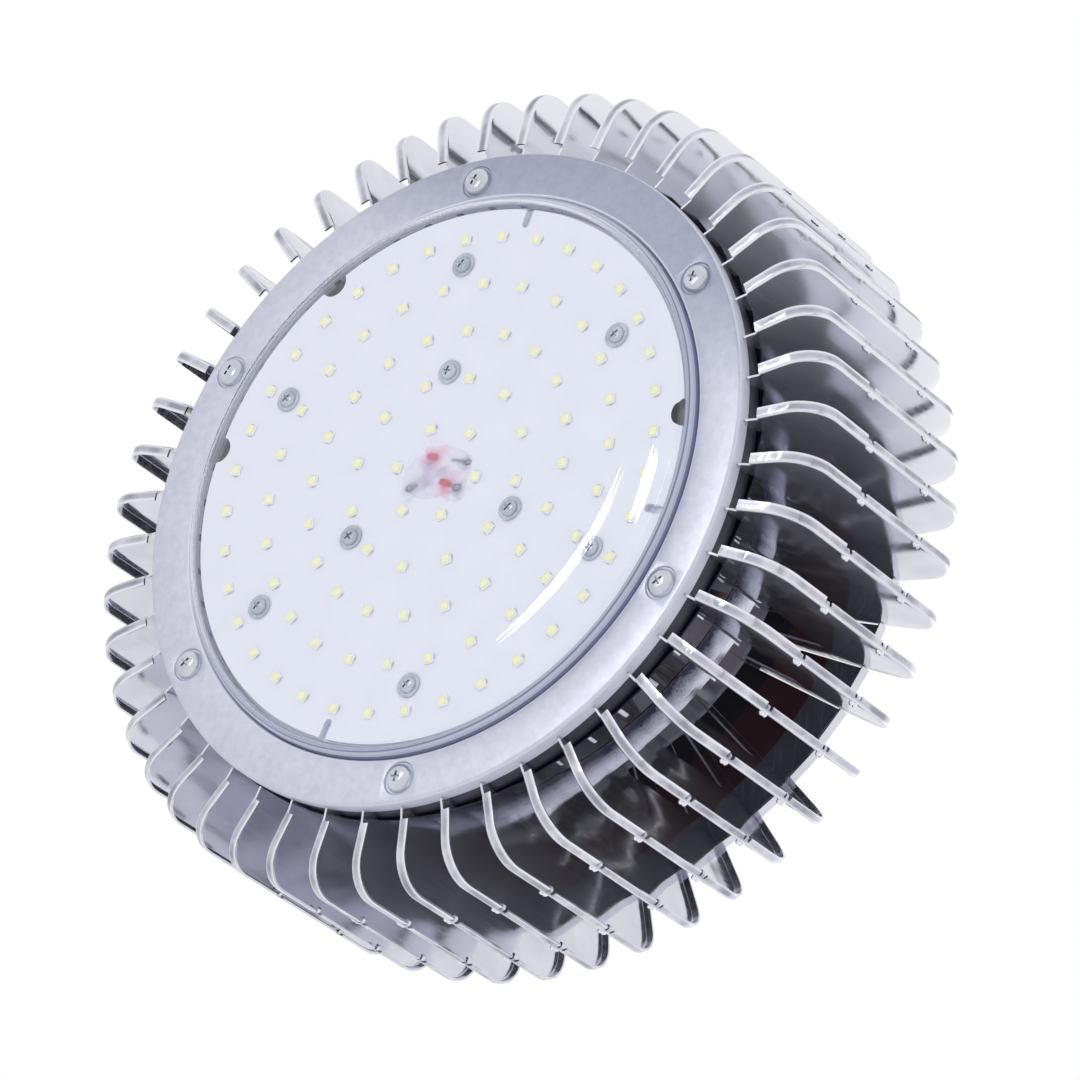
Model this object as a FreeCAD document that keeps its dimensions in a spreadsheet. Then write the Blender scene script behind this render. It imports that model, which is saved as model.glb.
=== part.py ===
# High bay light: a round folded-fin heat sink around an LED board under a clear domed lens.
# Lengths are in millimetres. Every sub-part is drawn with its height measured backwards from
# the bezel face, and is then placed so that the hanging hole at the top is the origin.
import FreeCAD, Part
import math
import os
import Sketcher

Vector = FreeCAD.Vector

# Driving dimensions: name and size in millimetres, degrees or pieces
DIMENSIONS = {
    # Fins
    "fin_count": 48,
    "fins_per_group": 2,
    "fin_sheet": 0.6,
    "fin_reach": 22.0,
    "fin_tail": 36.0,
    "fin_front": 2.0,
    "fin_rear": 76.0,
    "fin_bend": 10.0,
    "fin_corner": 9.0,
    "fin_gap": 0.3,
    "lip_height": 3.0,
    "lip_start": 3.5,
    "notch_length": 4.6,
    "notch_front": 27.5,
    "notch_from_rear": 21.7,
    "barb_width": 0.9,
    "barb_height": 1.5,
    "window_front": 38.0,
    "window_from_rear": 10.0,
    "window_inset": 5.5,
    "window_width": 20.5,
    "window_slant": 6.0,
    "strip_inset": 10.0,
    "strip_front": 28.0,
    "strip_rear": 36.0,
    "strip_flare": 1.2,
    "rear_ledge": 2.0,
    "rear_hem": 3.0,
    # Base plate
    "plate_inset": 0.5,
    "plate_rim": 5.0,
    "wire_hole": 4.0,
    # Bezel
    "bezel_width": 12.5,
    "board_clearance": 4.5,
    "bezel_thick": 4.0,
    "bezel_edge": 0.8,
    "bezel_screw_inset": 6.8,
    "bezel_screw_count": 6,
    "seat_radius": 4.6,
    "seat_depth": 0.5,
    # Board and light sources
    "board_radius": 75.0,
    "board_thick": 1.6,
    "led_width": 3.0,
    "led_high": 0.7,
    "led_edge": 8.0,
    "led_centre_ring": 13.2,
    "notch_overhang": 0.5,
    "notch_large": 3.9,
    "notch_small": 2.3,
    "notch_depth": 5.6,
    # Lens and gasket
    "lens_wall": 2.0,
    "lens_clearance": 0.5,
    "lens_flange": 3.6,
    "lens_shoulder": 4.0,
    "lens_rise": 10.0,
    "gasket_thick": 1.2,
    # Fasteners
    "board_screw_radius": 1.5,
    "board_head_radius": 3.4,
    "board_head_high": 1.5,
    "board_screw_edge": 15.1,
    "board_screw_offset": 2.15,
    "bezel_screw_radius": 2.0,
    "bezel_head_radius": 3.95,
    "bezel_head_high": 2.4,
    "hole_clearance": 0.25,
    "thread_clearance": 0.05,
    "screw_reach": 4.0,
    # Rear disc and its standoffs
    "post_count": 4,
    "post_radius": 4.0,
    "post_inset": 10.0,
    "post_stud": 2.5,
    "post_stud_length": 3.5,
    "disc_overlap": 6.0,
    "disc_thick": 3.0,
    "boss_radius": 11.0,
    "boss_high": 8.0,
    "hanger_radius": 5.0,
    "disc_screw_radius": 2.0,
    "disc_screw_length": 12.0,
    "disc_head_radius": 3.8,
    "disc_head_high": 2.6,
    # Cable gland and wires
    "gland_inset": 16.0,
    "gland_thread": 8.0,
    "gland_hex": 11.0,
    "gland_hex_high": 5.0,
    "gland_nut_radius": 9.5,
    "gland_nut_high": 9.0,
    "gland_bore": 4.0,
    "gland_inside": 4.0,
    "wire_radius": 1.0,
    "wire_spread": 2.2,
    "wire_straight": 12.0,
    "joint_length": 11.0,
    "joint_width": 7.5,
    "joint_high": 2.2,
    "joint_slope": 45.0,
}

# Rings of light sources from the board's edge inwards: count and angle of the first one
LED_RING_COUNTS = (36, 26, 20, 12, 6)
LED_RING_ANGLES = (0.0, 1.2, -12.0, -15.0, 15.0)
BOARD_SCREW_ANGLES_OUTER = (-90, -30, 30, 90, 150, -150)
BOARD_SCREW_ANGLES_INNER = (-90, 30, 150)
# Notches in the board's edge: angle and which of the two notch radii
BOARD_NOTCHES = ((-3.3, "notch_large"), (-124.0, "notch_large"), (-165.4, "notch_small"))
BOARD_SLOTS = (-75.0, 17.4, 110.0)
# Straight steps that stand for the lens's rounded shoulder, and corners of the silicone mound
SHOULDER_STEPS = 3
JOINT_CORNERS = 16
FULL_TURN_DEGREES = 360.0
QUARTER_TURN_DEGREES = 90.0


class Size:
    """A length that knows both its number and its spreadsheet formula."""

    def __init__(self, value, text):
        self.value = float(value)
        self.text = text

    def __add__(self, other):
        other = as_size(other)
        return Size(self.value + other.value, "(%s + %s)" % (self.text, other.text))

    def __sub__(self, other):
        other = as_size(other)
        return Size(self.value - other.value, "(%s - %s)" % (self.text, other.text))

    def __rsub__(self, other):
        return as_size(other) - self

    def __mul__(self, other):
        other = as_size(other)
        return Size(self.value * other.value, "(%s * %s)" % (self.text, other.text))

    def __truediv__(self, other):
        other = as_size(other)
        return Size(self.value / other.value, "(%s / %s)" % (self.text, other.text))

    def __rtruediv__(self, other):
        return as_size(other) / self

    def __neg__(self):
        return Size(-self.value, "(0 - %s)" % self.text)

    __radd__ = __add__
    __rmul__ = __mul__


def as_size(number):
    """Plain numbers become sizes whose formula is the number."""
    if isinstance(number, Size):
        return number
    return Size(number, "%.6f" % number)


def tangent(angle):
    """The tangent of an angle in degrees, as a size."""
    return Size(math.tan(math.radians(angle.value)), "tan(%s * 1deg)" % angle.text)


def cosine(angle):
    """The cosine of an angle in degrees, as a size."""
    return Size(math.cos(math.radians(angle.value)), "cos(%s * 1deg)" % angle.text)


def sine(angle):
    """The sine of an angle in degrees, as a size."""
    return Size(math.sin(math.radians(angle.value)), "sin(%s * 1deg)" % angle.text)


doc = FreeCAD.newDocument("HighBayLight")
sheet = doc.addObject("Spreadsheet::Sheet", "Dims")
for row, (name, size) in enumerate(DIMENSIONS.items(), start=1):
    sheet.set("A%d" % row, name)
    sheet.set("B%d" % row, "%g" % size)
    sheet.setAlias("B%d" % row, name)
doc.recompute()


def dim(name):
    """The size kept in the sheet under this name."""
    return Size(DIMENSIONS[name], "Dims.%s" % name)


# Sizes that follow from the driving dimensions, the board's radius first of all
PITCH = FULL_TURN_DEGREES / dim("fin_count")
BOARD_BACK = dim("board_thick")
NOTCH_CIRCLE = dim("board_radius") + dim("notch_overhang")
BOARD_SCREW_CIRCLE_OUTER = dim("board_radius") - dim("board_screw_edge")
LED_RING_OUTER = dim("board_radius") - dim("led_edge")
LED_RING_PITCH = (LED_RING_OUTER - dim("led_centre_ring")) / (len(LED_RING_COUNTS) - 1)
BOARD_SCREW_CIRCLE_INNER = dim("led_centre_ring") + LED_RING_PITCH + dim("board_screw_offset")
BEZEL_INNER = dim("board_radius") + dim("board_clearance")
BEZEL_RADIUS = BEZEL_INNER + dim("bezel_width")
BEZEL_SCREW_CIRCLE = BEZEL_RADIUS - dim("bezel_screw_inset")
PLATE_RADIUS = BEZEL_RADIUS - dim("plate_inset")
FIN_ROOT = BEZEL_RADIUS + dim("fin_gap")
FIN_OUTER = BEZEL_RADIUS + dim("fin_reach")
FIN_INNER = BEZEL_RADIUS - dim("fin_tail")
FLANGE_OUTER = BEZEL_RADIUS + dim("rear_ledge")
STRIP_AT = BEZEL_RADIUS - dim("strip_inset")
WINDOW_OUTER = BEZEL_RADIUS - dim("window_inset")
WINDOW_INNER = WINDOW_OUTER - dim("window_width")
WINDOW_REAR = dim("fin_rear") - dim("window_from_rear")
NOTCH_LEVELS = (dim("notch_front"), dim("fin_rear") - dim("notch_from_rear"))
DISC_RADIUS = FIN_INNER + dim("disc_overlap")
POST_CIRCLE = FIN_INNER - dim("post_inset")
GLAND_AT = POST_CIRCLE - dim("gland_inset")
LENS_OUTER = BEZEL_INNER - dim("lens_clearance")
LENS_RIM = LENS_OUTER + dim("lens_flange")
BEZEL_LIP = dim("bezel_thick") / 2
LENS_BACK = BEZEL_LIP + dim("lens_wall")
GROOVE_FLOOR = LENS_BACK + dim("gasket_thick")
GROOVE_OUTER = LENS_RIM + dim("lens_clearance")
PLATE_BACK = dim("bezel_thick") + dim("plate_rim")
DISC_FRONT = dim("fin_rear")
DISC_BACK = DISC_FRONT + dim("disc_thick")
BOSS_TOP = DISC_BACK + dim("boss_high")


def place(obj):
    """Lower a finished sub-part so that the top of the hanging boss is the origin."""
    obj.setExpression("Placement.Base.z", (-BOSS_TOP).text)


def origin_plane(body, role):
    """One of a body's own origin planes, found by its role."""
    for feature in body.Origin.OriginFeatures:
        if feature.Role == role:
            return feature
    raise ValueError(role)


def add_sketch(body, name, role, lift=None):
    """A sketch on one of the body's origin planes, raised along that plane's normal."""
    sketch = body.newObject("Sketcher::SketchObject", name)
    sketch.AttachmentSupport = [(origin_plane(body, role), "")]
    sketch.MapMode = "FlatFace"
    if lift is not None:
        sketch.AttachmentOffset = FreeCAD.Placement(Vector(0, 0, lift.value), FreeCAD.Rotation())
        sketch.setExpression("AttachmentOffset.Base.z", lift.text)
    return sketch


def bind_point(sketch, geometry, end, across, up):
    """Hold one end of a sketch line at two sizes measured from the sketch origin."""
    for kind, size in (("DistanceX", across), ("DistanceY", up)):
        size = as_size(size)
        index = sketch.addConstraint(Sketcher.Constraint(kind, -1, 1, geometry, end, size.value))
        sketch.setExpression("Constraints[%d]" % index, size.text)


def draw_outline(sketch, points):
    """A closed outline through points given as pairs of sizes."""
    corners = [Vector(as_size(across).value, as_size(up).value, 0) for across, up in points]
    first = sketch.GeometryCount
    for start, end in zip(corners, corners[1:] + corners[:1]):
        sketch.addGeometry(Part.LineSegment(start, end), False)
    count = len(points)
    for index, (across, up) in enumerate(points):
        before = first + (index - 1) % count
        sketch.addConstraint(Sketcher.Constraint("Coincident", before, 2, first + index, 1))
        bind_point(sketch, first + index, 1, across, up)


def draw_circle(sketch, across, up, radius):
    """A circle at a centre and radius given as sizes."""
    across, up, radius = as_size(across), as_size(up), as_size(radius)
    circle = Part.Circle(Vector(across.value, up.value, 0), Vector(0, 0, 1), radius.value)
    index = sketch.addGeometry(circle, False)
    bind_point(sketch, index, 3, across, up)
    held = sketch.addConstraint(Sketcher.Constraint("Radius", index, radius.value))
    sketch.setExpression("Constraints[%d]" % held, radius.text)


def draw_hexagon(sketch, across, radius):
    """A regular hexagon around a point on the X axis, by its corner radius."""
    points = []
    for step in range(6):
        angle = as_size(FULL_TURN_DEGREES * step / 6)
        points.append((across + radius * cosine(angle), radius * sine(angle)))
    draw_outline(sketch, points)


def new_body(label):
    """An empty body whose label names the sub-part."""
    body = doc.addObject("PartDesign::Body", label)
    body.Label = label
    return body


def pad(body, sketch, length, name="Pad"):
    """Add material along the sketch's normal."""
    feature = body.newObject("PartDesign::Pad", name)
    feature.Profile = sketch
    feature.setExpression("Length", as_size(length).text)
    sketch.Visibility = False
    doc.recompute()
    return feature


def pocket(body, sketch, length, name="Pocket", reverse=False):
    """Remove material against the sketch's normal, or along it where reversed."""
    feature = body.newObject("PartDesign::Pocket", name)
    feature.Profile = sketch
    feature.setExpression("Length", as_size(length).text)
    feature.Reversed = reverse
    sketch.Visibility = False
    doc.recompute()
    return feature


def lathe(label, points, role="XZ_Plane"):
    """A turned body from an outline of radii and heights."""
    body = new_body(label)
    sketch = add_sketch(body, label + "_outline", role)
    draw_outline(sketch, points)
    turn = body.newObject("PartDesign::Revolution", label + "_turn")
    turn.Profile = sketch
    turn.ReferenceAxis = (sketch, ["V_Axis"])
    turn.Angle = 360
    sketch.Visibility = False
    doc.recompute()
    return body


def edges_at(shape, test):
    """Names of the edges of a shape that pass a test on their bounding box."""
    return ["Edge%d" % (i + 1) for i, edge in enumerate(shape.Edges) if test(edge.BoundBox)]


def round_edges(body, test, radius, name):
    """Fillet the chosen edges of a body's tip."""
    base = body.Tip
    names = edges_at(base.Shape, test)
    if not names:
        raise ValueError("no edge found for " + name)
    feature = body.newObject("PartDesign::Fillet", name)
    feature.Base = (base, names)
    feature.setExpression("Radius", as_size(radius).text)
    doc.recompute()
    return feature


def cut_edges(body, test, size, name):
    """Chamfer the chosen edges of a body's tip."""
    base = body.Tip
    feature = body.newObject("PartDesign::Chamfer", name)
    feature.Base = (base, edges_at(base.Shape, test))
    feature.setExpression("Size", as_size(size).text)
    doc.recompute()
    return feature


def near(value, target, slack=0.01):
    """True where a number is the target within a small slack."""
    return abs(value - target) < slack


def fin_width(radius):
    """How far a folded strip reaches towards the next fin at a given radius."""
    return radius * tangent(PITCH) - dim("fin_gap")


# The folded fin: one blade of thin sheet with its lip, notches, strip and flanges
def make_fin():
    """One fin on the +X side; its folds all reach towards -Y."""
    body = new_body("fin_master")
    sheet_thick = dim("fin_sheet")
    outer = FIN_OUTER
    front = dim("fin_front")
    rear = dim("fin_rear")
    root = FIN_ROOT
    foot = PLATE_BACK
    outline = add_sketch(body, "fin_outline", "XZ_Plane")
    draw_outline(outline, [
        (FIN_INNER, foot), (root, foot), (root, front),
        (outer, front), (outer, rear), (FIN_INNER, rear)])
    pad(body, outline, dim("lip_height"), "fin_slab")
    # Everything inside the lip is cut back to the sheet's own thickness
    tray = add_sketch(body, "fin_tray", "XZ_Plane", dim("lip_height"))
    lip_start = root + dim("lip_start")
    inner_edge = outer - sheet_thick
    draw_outline(tray, [
        (FIN_INNER - 1, foot - 1), (root - 1, foot - 1), (root - 1, front - 1),
        (lip_start, front - 1), (lip_start, front + sheet_thick), (inner_edge, front + sheet_thick),
        (inner_edge, rear - sheet_thick), (FLANGE_OUTER, rear - sheet_thick),
        (FLANGE_OUTER, rear + 1), (FIN_INNER - 1, rear + 1)])
    pocket(body, tray, dim("lip_height") - sheet_thick, "fin_tray_cut")
    inside = inner_edge.value
    for name, level, radius in (
            ("front_bend_inside", (front + sheet_thick).value, dim("fin_bend") - sheet_thick),
            ("rear_corner_inside", (rear - sheet_thick).value, dim("fin_corner") - sheet_thick)):
        round_edges(body, lambda b: near(b.XMin, inside) and near(b.XMax, inside)
                    and near(b.ZMin, level) and near(b.ZMax, level), radius, name)
    out = outer.value
    for name, level, radius in (
            ("front_bend", front.value, dim("fin_bend")), ("rear_corner", rear.value, dim("fin_corner"))):
        round_edges(body, lambda b: near(b.XMin, out) and near(b.XMax, out)
                    and near(b.ZMin, level) and near(b.ZMax, level), radius, name)

    # Snap notches through the lip, each with a barb of sheet left in its middle
    notches = add_sketch(body, "lip_notches", "XZ_Plane", dim("lip_height"))
    half = dim("notch_length") / 2
    for level in NOTCH_LEVELS:
        draw_outline(notches, [
            (inner_edge - 1, level - half), (outer + 1, level - half),
            (outer + 1, level + half), (inner_edge - 1, level + half)])
    pocket(body, notches, dim("lip_height") - sheet_thick, "lip_notch_cut")
    barbs = add_sketch(body, "snap_barbs", "XZ_Plane")
    barb = dim("barb_width") / 2
    for level in NOTCH_LEVELS:
        draw_outline(barbs, [
            (outer - barb * 2, level - barb), (outer, level - barb),
            (outer, level + barb), (outer - barb * 2, level + barb)])
    pad(body, barbs, sheet_thick + dim("barb_height"), "snap_barb")

    # Window that the mid strip and its tongue are bent out of
    window = add_sketch(body, "fin_window", "XZ_Plane", dim("lip_height"))
    draw_outline(window, [
        (WINDOW_INNER + dim("window_slant"), dim("window_front")),
        (WINDOW_OUTER, dim("window_front")),
        (WINDOW_OUTER, WINDOW_REAR),
        (WINDOW_INNER, WINDOW_REAR)])
    pocket(body, window, dim("lip_height"), "fin_window_cut")

    # Mid strip: a tongue across the channel with a flared rear edge
    strip = add_sketch(body, "mid_strip", "XZ_Plane")
    at = STRIP_AT
    flare = dim("strip_flare")
    draw_outline(strip, [
        (at, dim("strip_front")), (at + sheet_thick, dim("strip_front")),
        (at + sheet_thick, dim("strip_rear") - flare), (at + sheet_thick + flare, dim("strip_rear")),
        (at + flare, dim("strip_rear")), (at, dim("strip_rear") - flare)])
    pad(body, strip, fin_width(at), "mid_strip_fold")

    # Foot flange on the base plate's back, and rear flange that closes the back
    flanges = (("foot_flange", foot, root), ("rear_flange", rear - sheet_thick, FLANGE_OUTER))
    for name, level, reach in flanges:
        flange = add_sketch(body, name, "XY_Plane", level)
        start = FIN_INNER
        draw_outline(flange, [
            (start, 0), (reach, 0), (reach, -fin_width(reach)), (start, -fin_width(start))])
        pad(body, flange, sheet_thick, name + "_fold")
    hem = add_sketch(body, "rear_hem", "XZ_Plane")
    edge = FLANGE_OUTER
    draw_outline(hem, [
        (edge - sheet_thick, rear - dim("rear_hem")), (edge, rear - dim("rear_hem")),
        (edge, rear), (edge - sheet_thick, rear)])
    pad(body, hem, fin_width(edge - sheet_thick), "rear_hem_fold")
    return body


def spin_link(name, master, angle):
    """A copy of a master sub-part, turned about the vertical axis and lowered to its place."""
    link = doc.addObject("App::Link", name)
    link.LinkedObject = master
    angle = as_size(angle)
    link.setExpression("Placement", (
        "create(<<placement>>; create(<<vector>>; 0; 0; %s); "
        "create(<<rotation>>; create(<<vector>>; 0; 0; 1); %s))" % ((-BOSS_TOP).text, angle.text)))
    return link


def spin_group(label, master, angles):
    """One node of separate solids: a master repeated at the given angles."""
    links = [spin_link("%s_%d" % (label, i + 1), master, angle) for i, angle in enumerate(angles)]
    group = doc.addObject("Part::Compound", label)
    group.Label = label
    group.Links = links
    return group


def make_fin_ring():
    """All fins, snapped together and kept in small groups as separate nodes."""
    master = make_fin()
    per_group = int(DIMENSIONS["fins_per_group"])
    groups = []
    for first in range(0, int(DIMENSIONS["fin_count"]), per_group):
        angles = [PITCH * (first + step) for step in range(per_group)]
        groups.append(spin_group("fin_pair_%02d" % (first // per_group + 1), master, angles))
    return groups


def circle_points(radius, count, start=0.0):
    """Centres evenly spaced on a circle, as pairs of sizes."""
    points = []
    for step in range(count):
        angle = as_size(start + FULL_TURN_DEGREES * step / count)
        points.append((radius * cosine(angle), radius * sine(angle)))
    return points


def board_screw_points():
    """Centres of the nine board screws."""
    points = []
    for circle, angles in (
            (BOARD_SCREW_CIRCLE_OUTER, BOARD_SCREW_ANGLES_OUTER),
            (BOARD_SCREW_CIRCLE_INNER, BOARD_SCREW_ANGLES_INNER)):
        for turn in angles:
            angle = as_size(turn)
            points.append((circle * cosine(angle), circle * sine(angle)))
    return points


def bezel_screw_points():
    """Centres of the bezel screws."""
    return circle_points(BEZEL_SCREW_CIRCLE, int(DIMENSIONS["bezel_screw_count"]), -90.0)


def post_points():
    """Centres of the standoffs behind the base plate."""
    return circle_points(POST_CIRCLE, int(DIMENSIONS["post_count"]), 45.0)


def make_base_plate():
    """Turned heat spreader with a groove for the gasket and all its holes."""
    raised = dim("board_radius") + dim("fin_gap")
    body = lathe("base_plate", [
        (dim("wire_hole"), BOARD_BACK), (raised, BOARD_BACK), (raised, GROOVE_FLOOR),
        (GROOVE_OUTER, GROOVE_FLOOR), (GROOVE_OUTER, dim("bezel_thick")),
        (PLATE_RADIUS, dim("bezel_thick")), (PLATE_RADIUS, PLATE_BACK),
        (dim("wire_hole"), PLATE_BACK)])
    tapped = add_sketch(body, "plate_tapped", "XY_Plane")
    for across, up in bezel_screw_points():
        draw_circle(tapped, across, up, dim("bezel_screw_radius") + dim("thread_clearance"))
    for across, up in board_screw_points():
        draw_circle(tapped, across, up, dim("board_screw_radius") + dim("thread_clearance"))
    pocket(body, tapped, dim("bezel_thick") + dim("screw_reach"), "plate_tapped_holes", reverse=True)
    studs = add_sketch(body, "plate_studs", "XY_Plane", PLATE_BACK)
    for across, up in post_points():
        draw_circle(studs, across, up, dim("post_stud") + dim("thread_clearance"))
    pocket(body, studs, dim("post_stud_length") + 0.5, "plate_stud_holes")
    place(body)
    return body


def make_bezel():
    """Flat ring with a rebate for the lens flange and a shallow seat at each screw."""
    edge = dim("bezel_edge")
    radius = BEZEL_RADIUS
    inner = BEZEL_INNER
    body = lathe("bezel_ring", [
        (inner + edge / 2, 0), (radius - edge, 0), (radius, edge), (radius, dim("bezel_thick")),
        (GROOVE_OUTER, dim("bezel_thick")), (GROOVE_OUTER, BEZEL_LIP), (inner, BEZEL_LIP),
        (inner, edge / 2)])
    seats = add_sketch(body, "screw_seats", "XY_Plane")
    for across, up in bezel_screw_points():
        draw_circle(seats, across, up, dim("seat_radius"))
    pocket(body, seats, dim("seat_depth"), "screw_seat_cut", reverse=True)
    holes = add_sketch(body, "screw_holes", "XY_Plane")
    for across, up in bezel_screw_points():
        draw_circle(holes, across, up, dim("bezel_screw_radius") + dim("hole_clearance"))
    pocket(body, holes, dim("bezel_thick"), "screw_hole_cut", reverse=True)
    place(body)
    return body


def make_lens():
    """Clear dome: crown, rounded shoulder, short wall and clamped flange, turned from arcs."""
    body = new_body("lens_dome")
    sketch = add_sketch(body, "lens_outline", "XZ_Plane")
    wall = dim("lens_wall")
    shoulder = dim("lens_shoulder")
    crown = dim("lens_rise")
    rim = LENS_OUTER - shoulder
    thin = shoulder - wall

    def bulge(rise):
        """The crown's radius for a rise above its rim."""
        return (rim * rim + rise * rise) / (rise * 2)

    outer_radius = bulge(crown - shoulder)
    inner_radius = outer_radius
    # Corners, listed from the axis outwards on the outside and back on the inside
    turns = [as_size(QUARTER_TURN_DEGREES * step / SHOULDER_STEPS) for step in range(SHOULDER_STEPS + 1)]
    outside = [(rim + shoulder * sine(turn), -(shoulder * cosine(turn))) for turn in turns]
    inside = [(rim + thin * sine(turn), -(thin * cosine(turn))) for turn in reversed(turns)]
    points = [(as_size(0), -crown)] + outside
    points += [(LENS_OUTER, BEZEL_LIP), (LENS_RIM, BEZEL_LIP), (LENS_RIM, LENS_BACK),
               (LENS_OUTER - wall, LENS_BACK)] + inside
    points += [(as_size(0), wall - crown)]
    corner = [Vector(across.value, up.value, 0) for across, up in points]
    last = len(points) - 1

    def crown_arc(middle, edge, radius):
        """A shallow arc whose centre lies on the axis, from its middle to its edge."""
        centre = Vector(0, middle.y + radius, 0)
        circle = Part.Circle(centre, Vector(0, 0, 1), radius)
        start, end = sorted(math.atan2(p.y - centre.y, p.x) for p in (middle, edge))
        return Part.ArcOfCircle(circle, start, end)

    pieces = [crown_arc(corner[0], corner[1], outer_radius.value)]
    for index in range(1, last - 1):
        pieces.append(Part.LineSegment(corner[index], corner[index + 1]))
    pieces.append(crown_arc(corner[last], corner[last - 1], inner_radius.value))
    pieces.append(Part.LineSegment(corner[last], corner[0]))
    for piece in pieces:
        sketch.addGeometry(piece, False)
    # Which end of each piece meets the corner of the same number: arcs run towards larger angles
    starts = [1] * len(pieces)
    starts[last - 1] = 2
    for index, start in enumerate(starts):
        before = (index - 1) % len(pieces)
        before_end = 2 if starts[before] == 1 else 1
        sketch.addConstraint(Sketcher.Constraint("Coincident", before, before_end, index, start))
        bind_point(sketch, index, start, *points[index])
    for index, radius in ((0, outer_radius), (last - 1, inner_radius)):
        held = sketch.addConstraint(Sketcher.Constraint("Radius", index, radius.value))
        sketch.setExpression("Constraints[%d]" % held, radius.text)
    turn = body.newObject("PartDesign::Revolution", "lens_turn")
    turn.Profile = sketch
    turn.ReferenceAxis = (sketch, ["V_Axis"])
    turn.Angle = 360
    doc.recompute()
    place(body)
    return body


def make_gasket():
    """Flat rubber ring between the lens flange and the base plate's groove."""
    body = lathe("lens_gasket", [
        (LENS_OUTER - dim("lens_wall"), LENS_BACK), (LENS_RIM, LENS_BACK),
        (LENS_RIM, GROOVE_FLOOR), (LENS_OUTER - dim("lens_wall"), GROOVE_FLOOR)])
    place(body)
    return body


def make_board():
    """Round LED board with screw holes, a wire hole, round notches and open slots in its edge."""
    body = lathe("led_board", [
        (dim("wire_hole"), 0), (dim("board_radius"), 0),
        (dim("board_radius"), dim("board_thick")), (dim("wire_hole"), dim("board_thick"))])
    cuts = add_sketch(body, "board_cuts", "XY_Plane")
    for across, up in board_screw_points():
        draw_circle(cuts, across, up, dim("board_screw_radius") + dim("hole_clearance"))
    at = NOTCH_CIRCLE
    for turn, name in BOARD_NOTCHES:
        angle = as_size(turn)
        draw_circle(cuts, at * cosine(angle), at * sine(angle), dim(name))
    pocket(body, cuts, dim("board_thick"), "board_cut_holes", reverse=True)
    slots = add_sketch(body, "board_slots", "XY_Plane")
    half = dim("notch_small") / 2
    for turn in BOARD_SLOTS:
        angle = as_size(turn)
        ends = ((at - dim("notch_depth"), -half), (at + 2, -half), (at + 2, half), (at - dim("notch_depth"), half))
        draw_outline(slots, [
            (far * cosine(angle) - side * sine(angle), far * sine(angle) + side * cosine(angle))
            for far, side in ends])
    pocket(body, slots, dim("board_thick"), "board_slot_cut", reverse=True)
    place(body)
    return body


def make_leds():
    """All light sources as one node of separate square packages."""
    links = []
    for ring, (count, start) in enumerate(zip(LED_RING_COUNTS, LED_RING_ANGLES)):
        name = "led_ring_%d" % (ring + 1)
        radius = LED_RING_OUTER - LED_RING_PITCH * ring
        package = doc.addObject("Part::Box", name)
        package.setExpression("Length", dim("led_width").text)
        package.setExpression("Width", dim("led_width").text)
        package.setExpression("Height", dim("led_high").text)
        package.setExpression("Placement.Base.x", (radius - dim("led_width") / 2).text)
        package.setExpression("Placement.Base.y", (-(dim("led_width") / 2)).text)
        package.setExpression("Placement.Base.z", (-dim("led_high")).text)
        for step in range(count):
            link = spin_link("%s_%d" % (name, step + 1), package, start + FULL_TURN_DEGREES * step / count)
            link.LinkTransform = True
            links.append(link)
    group = doc.addObject("Part::Compound", "led_packages")
    group.Label = "led_packages"
    group.Links = links
    return group


def make_screw(label, across, radius, length, head_radius, head_high, seat):
    """A screw on the +X side whose tapered head faces forwards and rests at height seat."""
    body = lathe(label, [
        (0, seat + length), (radius, seat + length), (radius, seat), (head_radius, seat),
        (head_radius, seat - head_high / 3), (head_radius - head_high / 2, seat - head_high),
        (0, seat - head_high)])
    shifted = doc.addObject("Part::Compound", label + "_shifted")
    link = doc.addObject("App::Link", label + "_at")
    link.LinkedObject = body
    link.setExpression("Placement.Base.x", across.text)
    shifted.Links = [link]
    doc.recompute()
    return shifted


def make_screws():
    """Board screws, bezel screws and rear disc screws, each kind in one node."""
    board_length = dim("board_thick") + dim("screw_reach")
    groups = []
    links = []
    for name, circle, angles in (
            ("board_screw_outer", BOARD_SCREW_CIRCLE_OUTER, BOARD_SCREW_ANGLES_OUTER),
            ("board_screw_inner", BOARD_SCREW_CIRCLE_INNER, BOARD_SCREW_ANGLES_INNER)):
        master = make_screw(name, circle, dim("board_screw_radius"), board_length,
                            dim("board_head_radius"), dim("board_head_high"), as_size(0))
        links += [spin_link("%s_%d" % (name, i + 1), master, turn) for i, turn in enumerate(angles)]
    board = doc.addObject("Part::Compound", "board_screws")
    board.Label = "board_screws"
    board.Links = links
    groups.append(board)
    seat = dim("seat_depth")
    master = make_screw("bezel_screw", BEZEL_SCREW_CIRCLE, dim("bezel_screw_radius"),
                        dim("bezel_thick") + dim("screw_reach") - dim("seat_depth") - 0.5,
                        dim("bezel_head_radius"), dim("bezel_head_high"), seat)
    count = int(DIMENSIONS["bezel_screw_count"])
    groups.append(spin_group("bezel_screws", master, [-90.0 + FULL_TURN_DEGREES * i / count for i in range(count)]))
    return groups


def make_disc_screws():
    """Cap screws that hold the rear disc to the standoffs, heads to the rear."""
    master = lathe("disc_screw", [
        (0, DISC_BACK - dim("disc_screw_length")), (dim("disc_screw_radius"), DISC_BACK - dim("disc_screw_length")),
        (dim("disc_screw_radius"), DISC_BACK), (dim("disc_head_radius"), DISC_BACK),
        (dim("disc_head_radius"), DISC_BACK + dim("disc_head_high")), (0, DISC_BACK + dim("disc_head_high"))])
    socket = add_sketch(master, "disc_screw_socket", "XY_Plane", DISC_BACK + dim("disc_head_high"))
    draw_hexagon(socket, as_size(0), dim("disc_screw_radius") * 0.9)
    pocket(master, socket, dim("disc_head_high") / 2, "disc_screw_socket_cut")
    return spin_on_posts("disc_screws", master)


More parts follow.
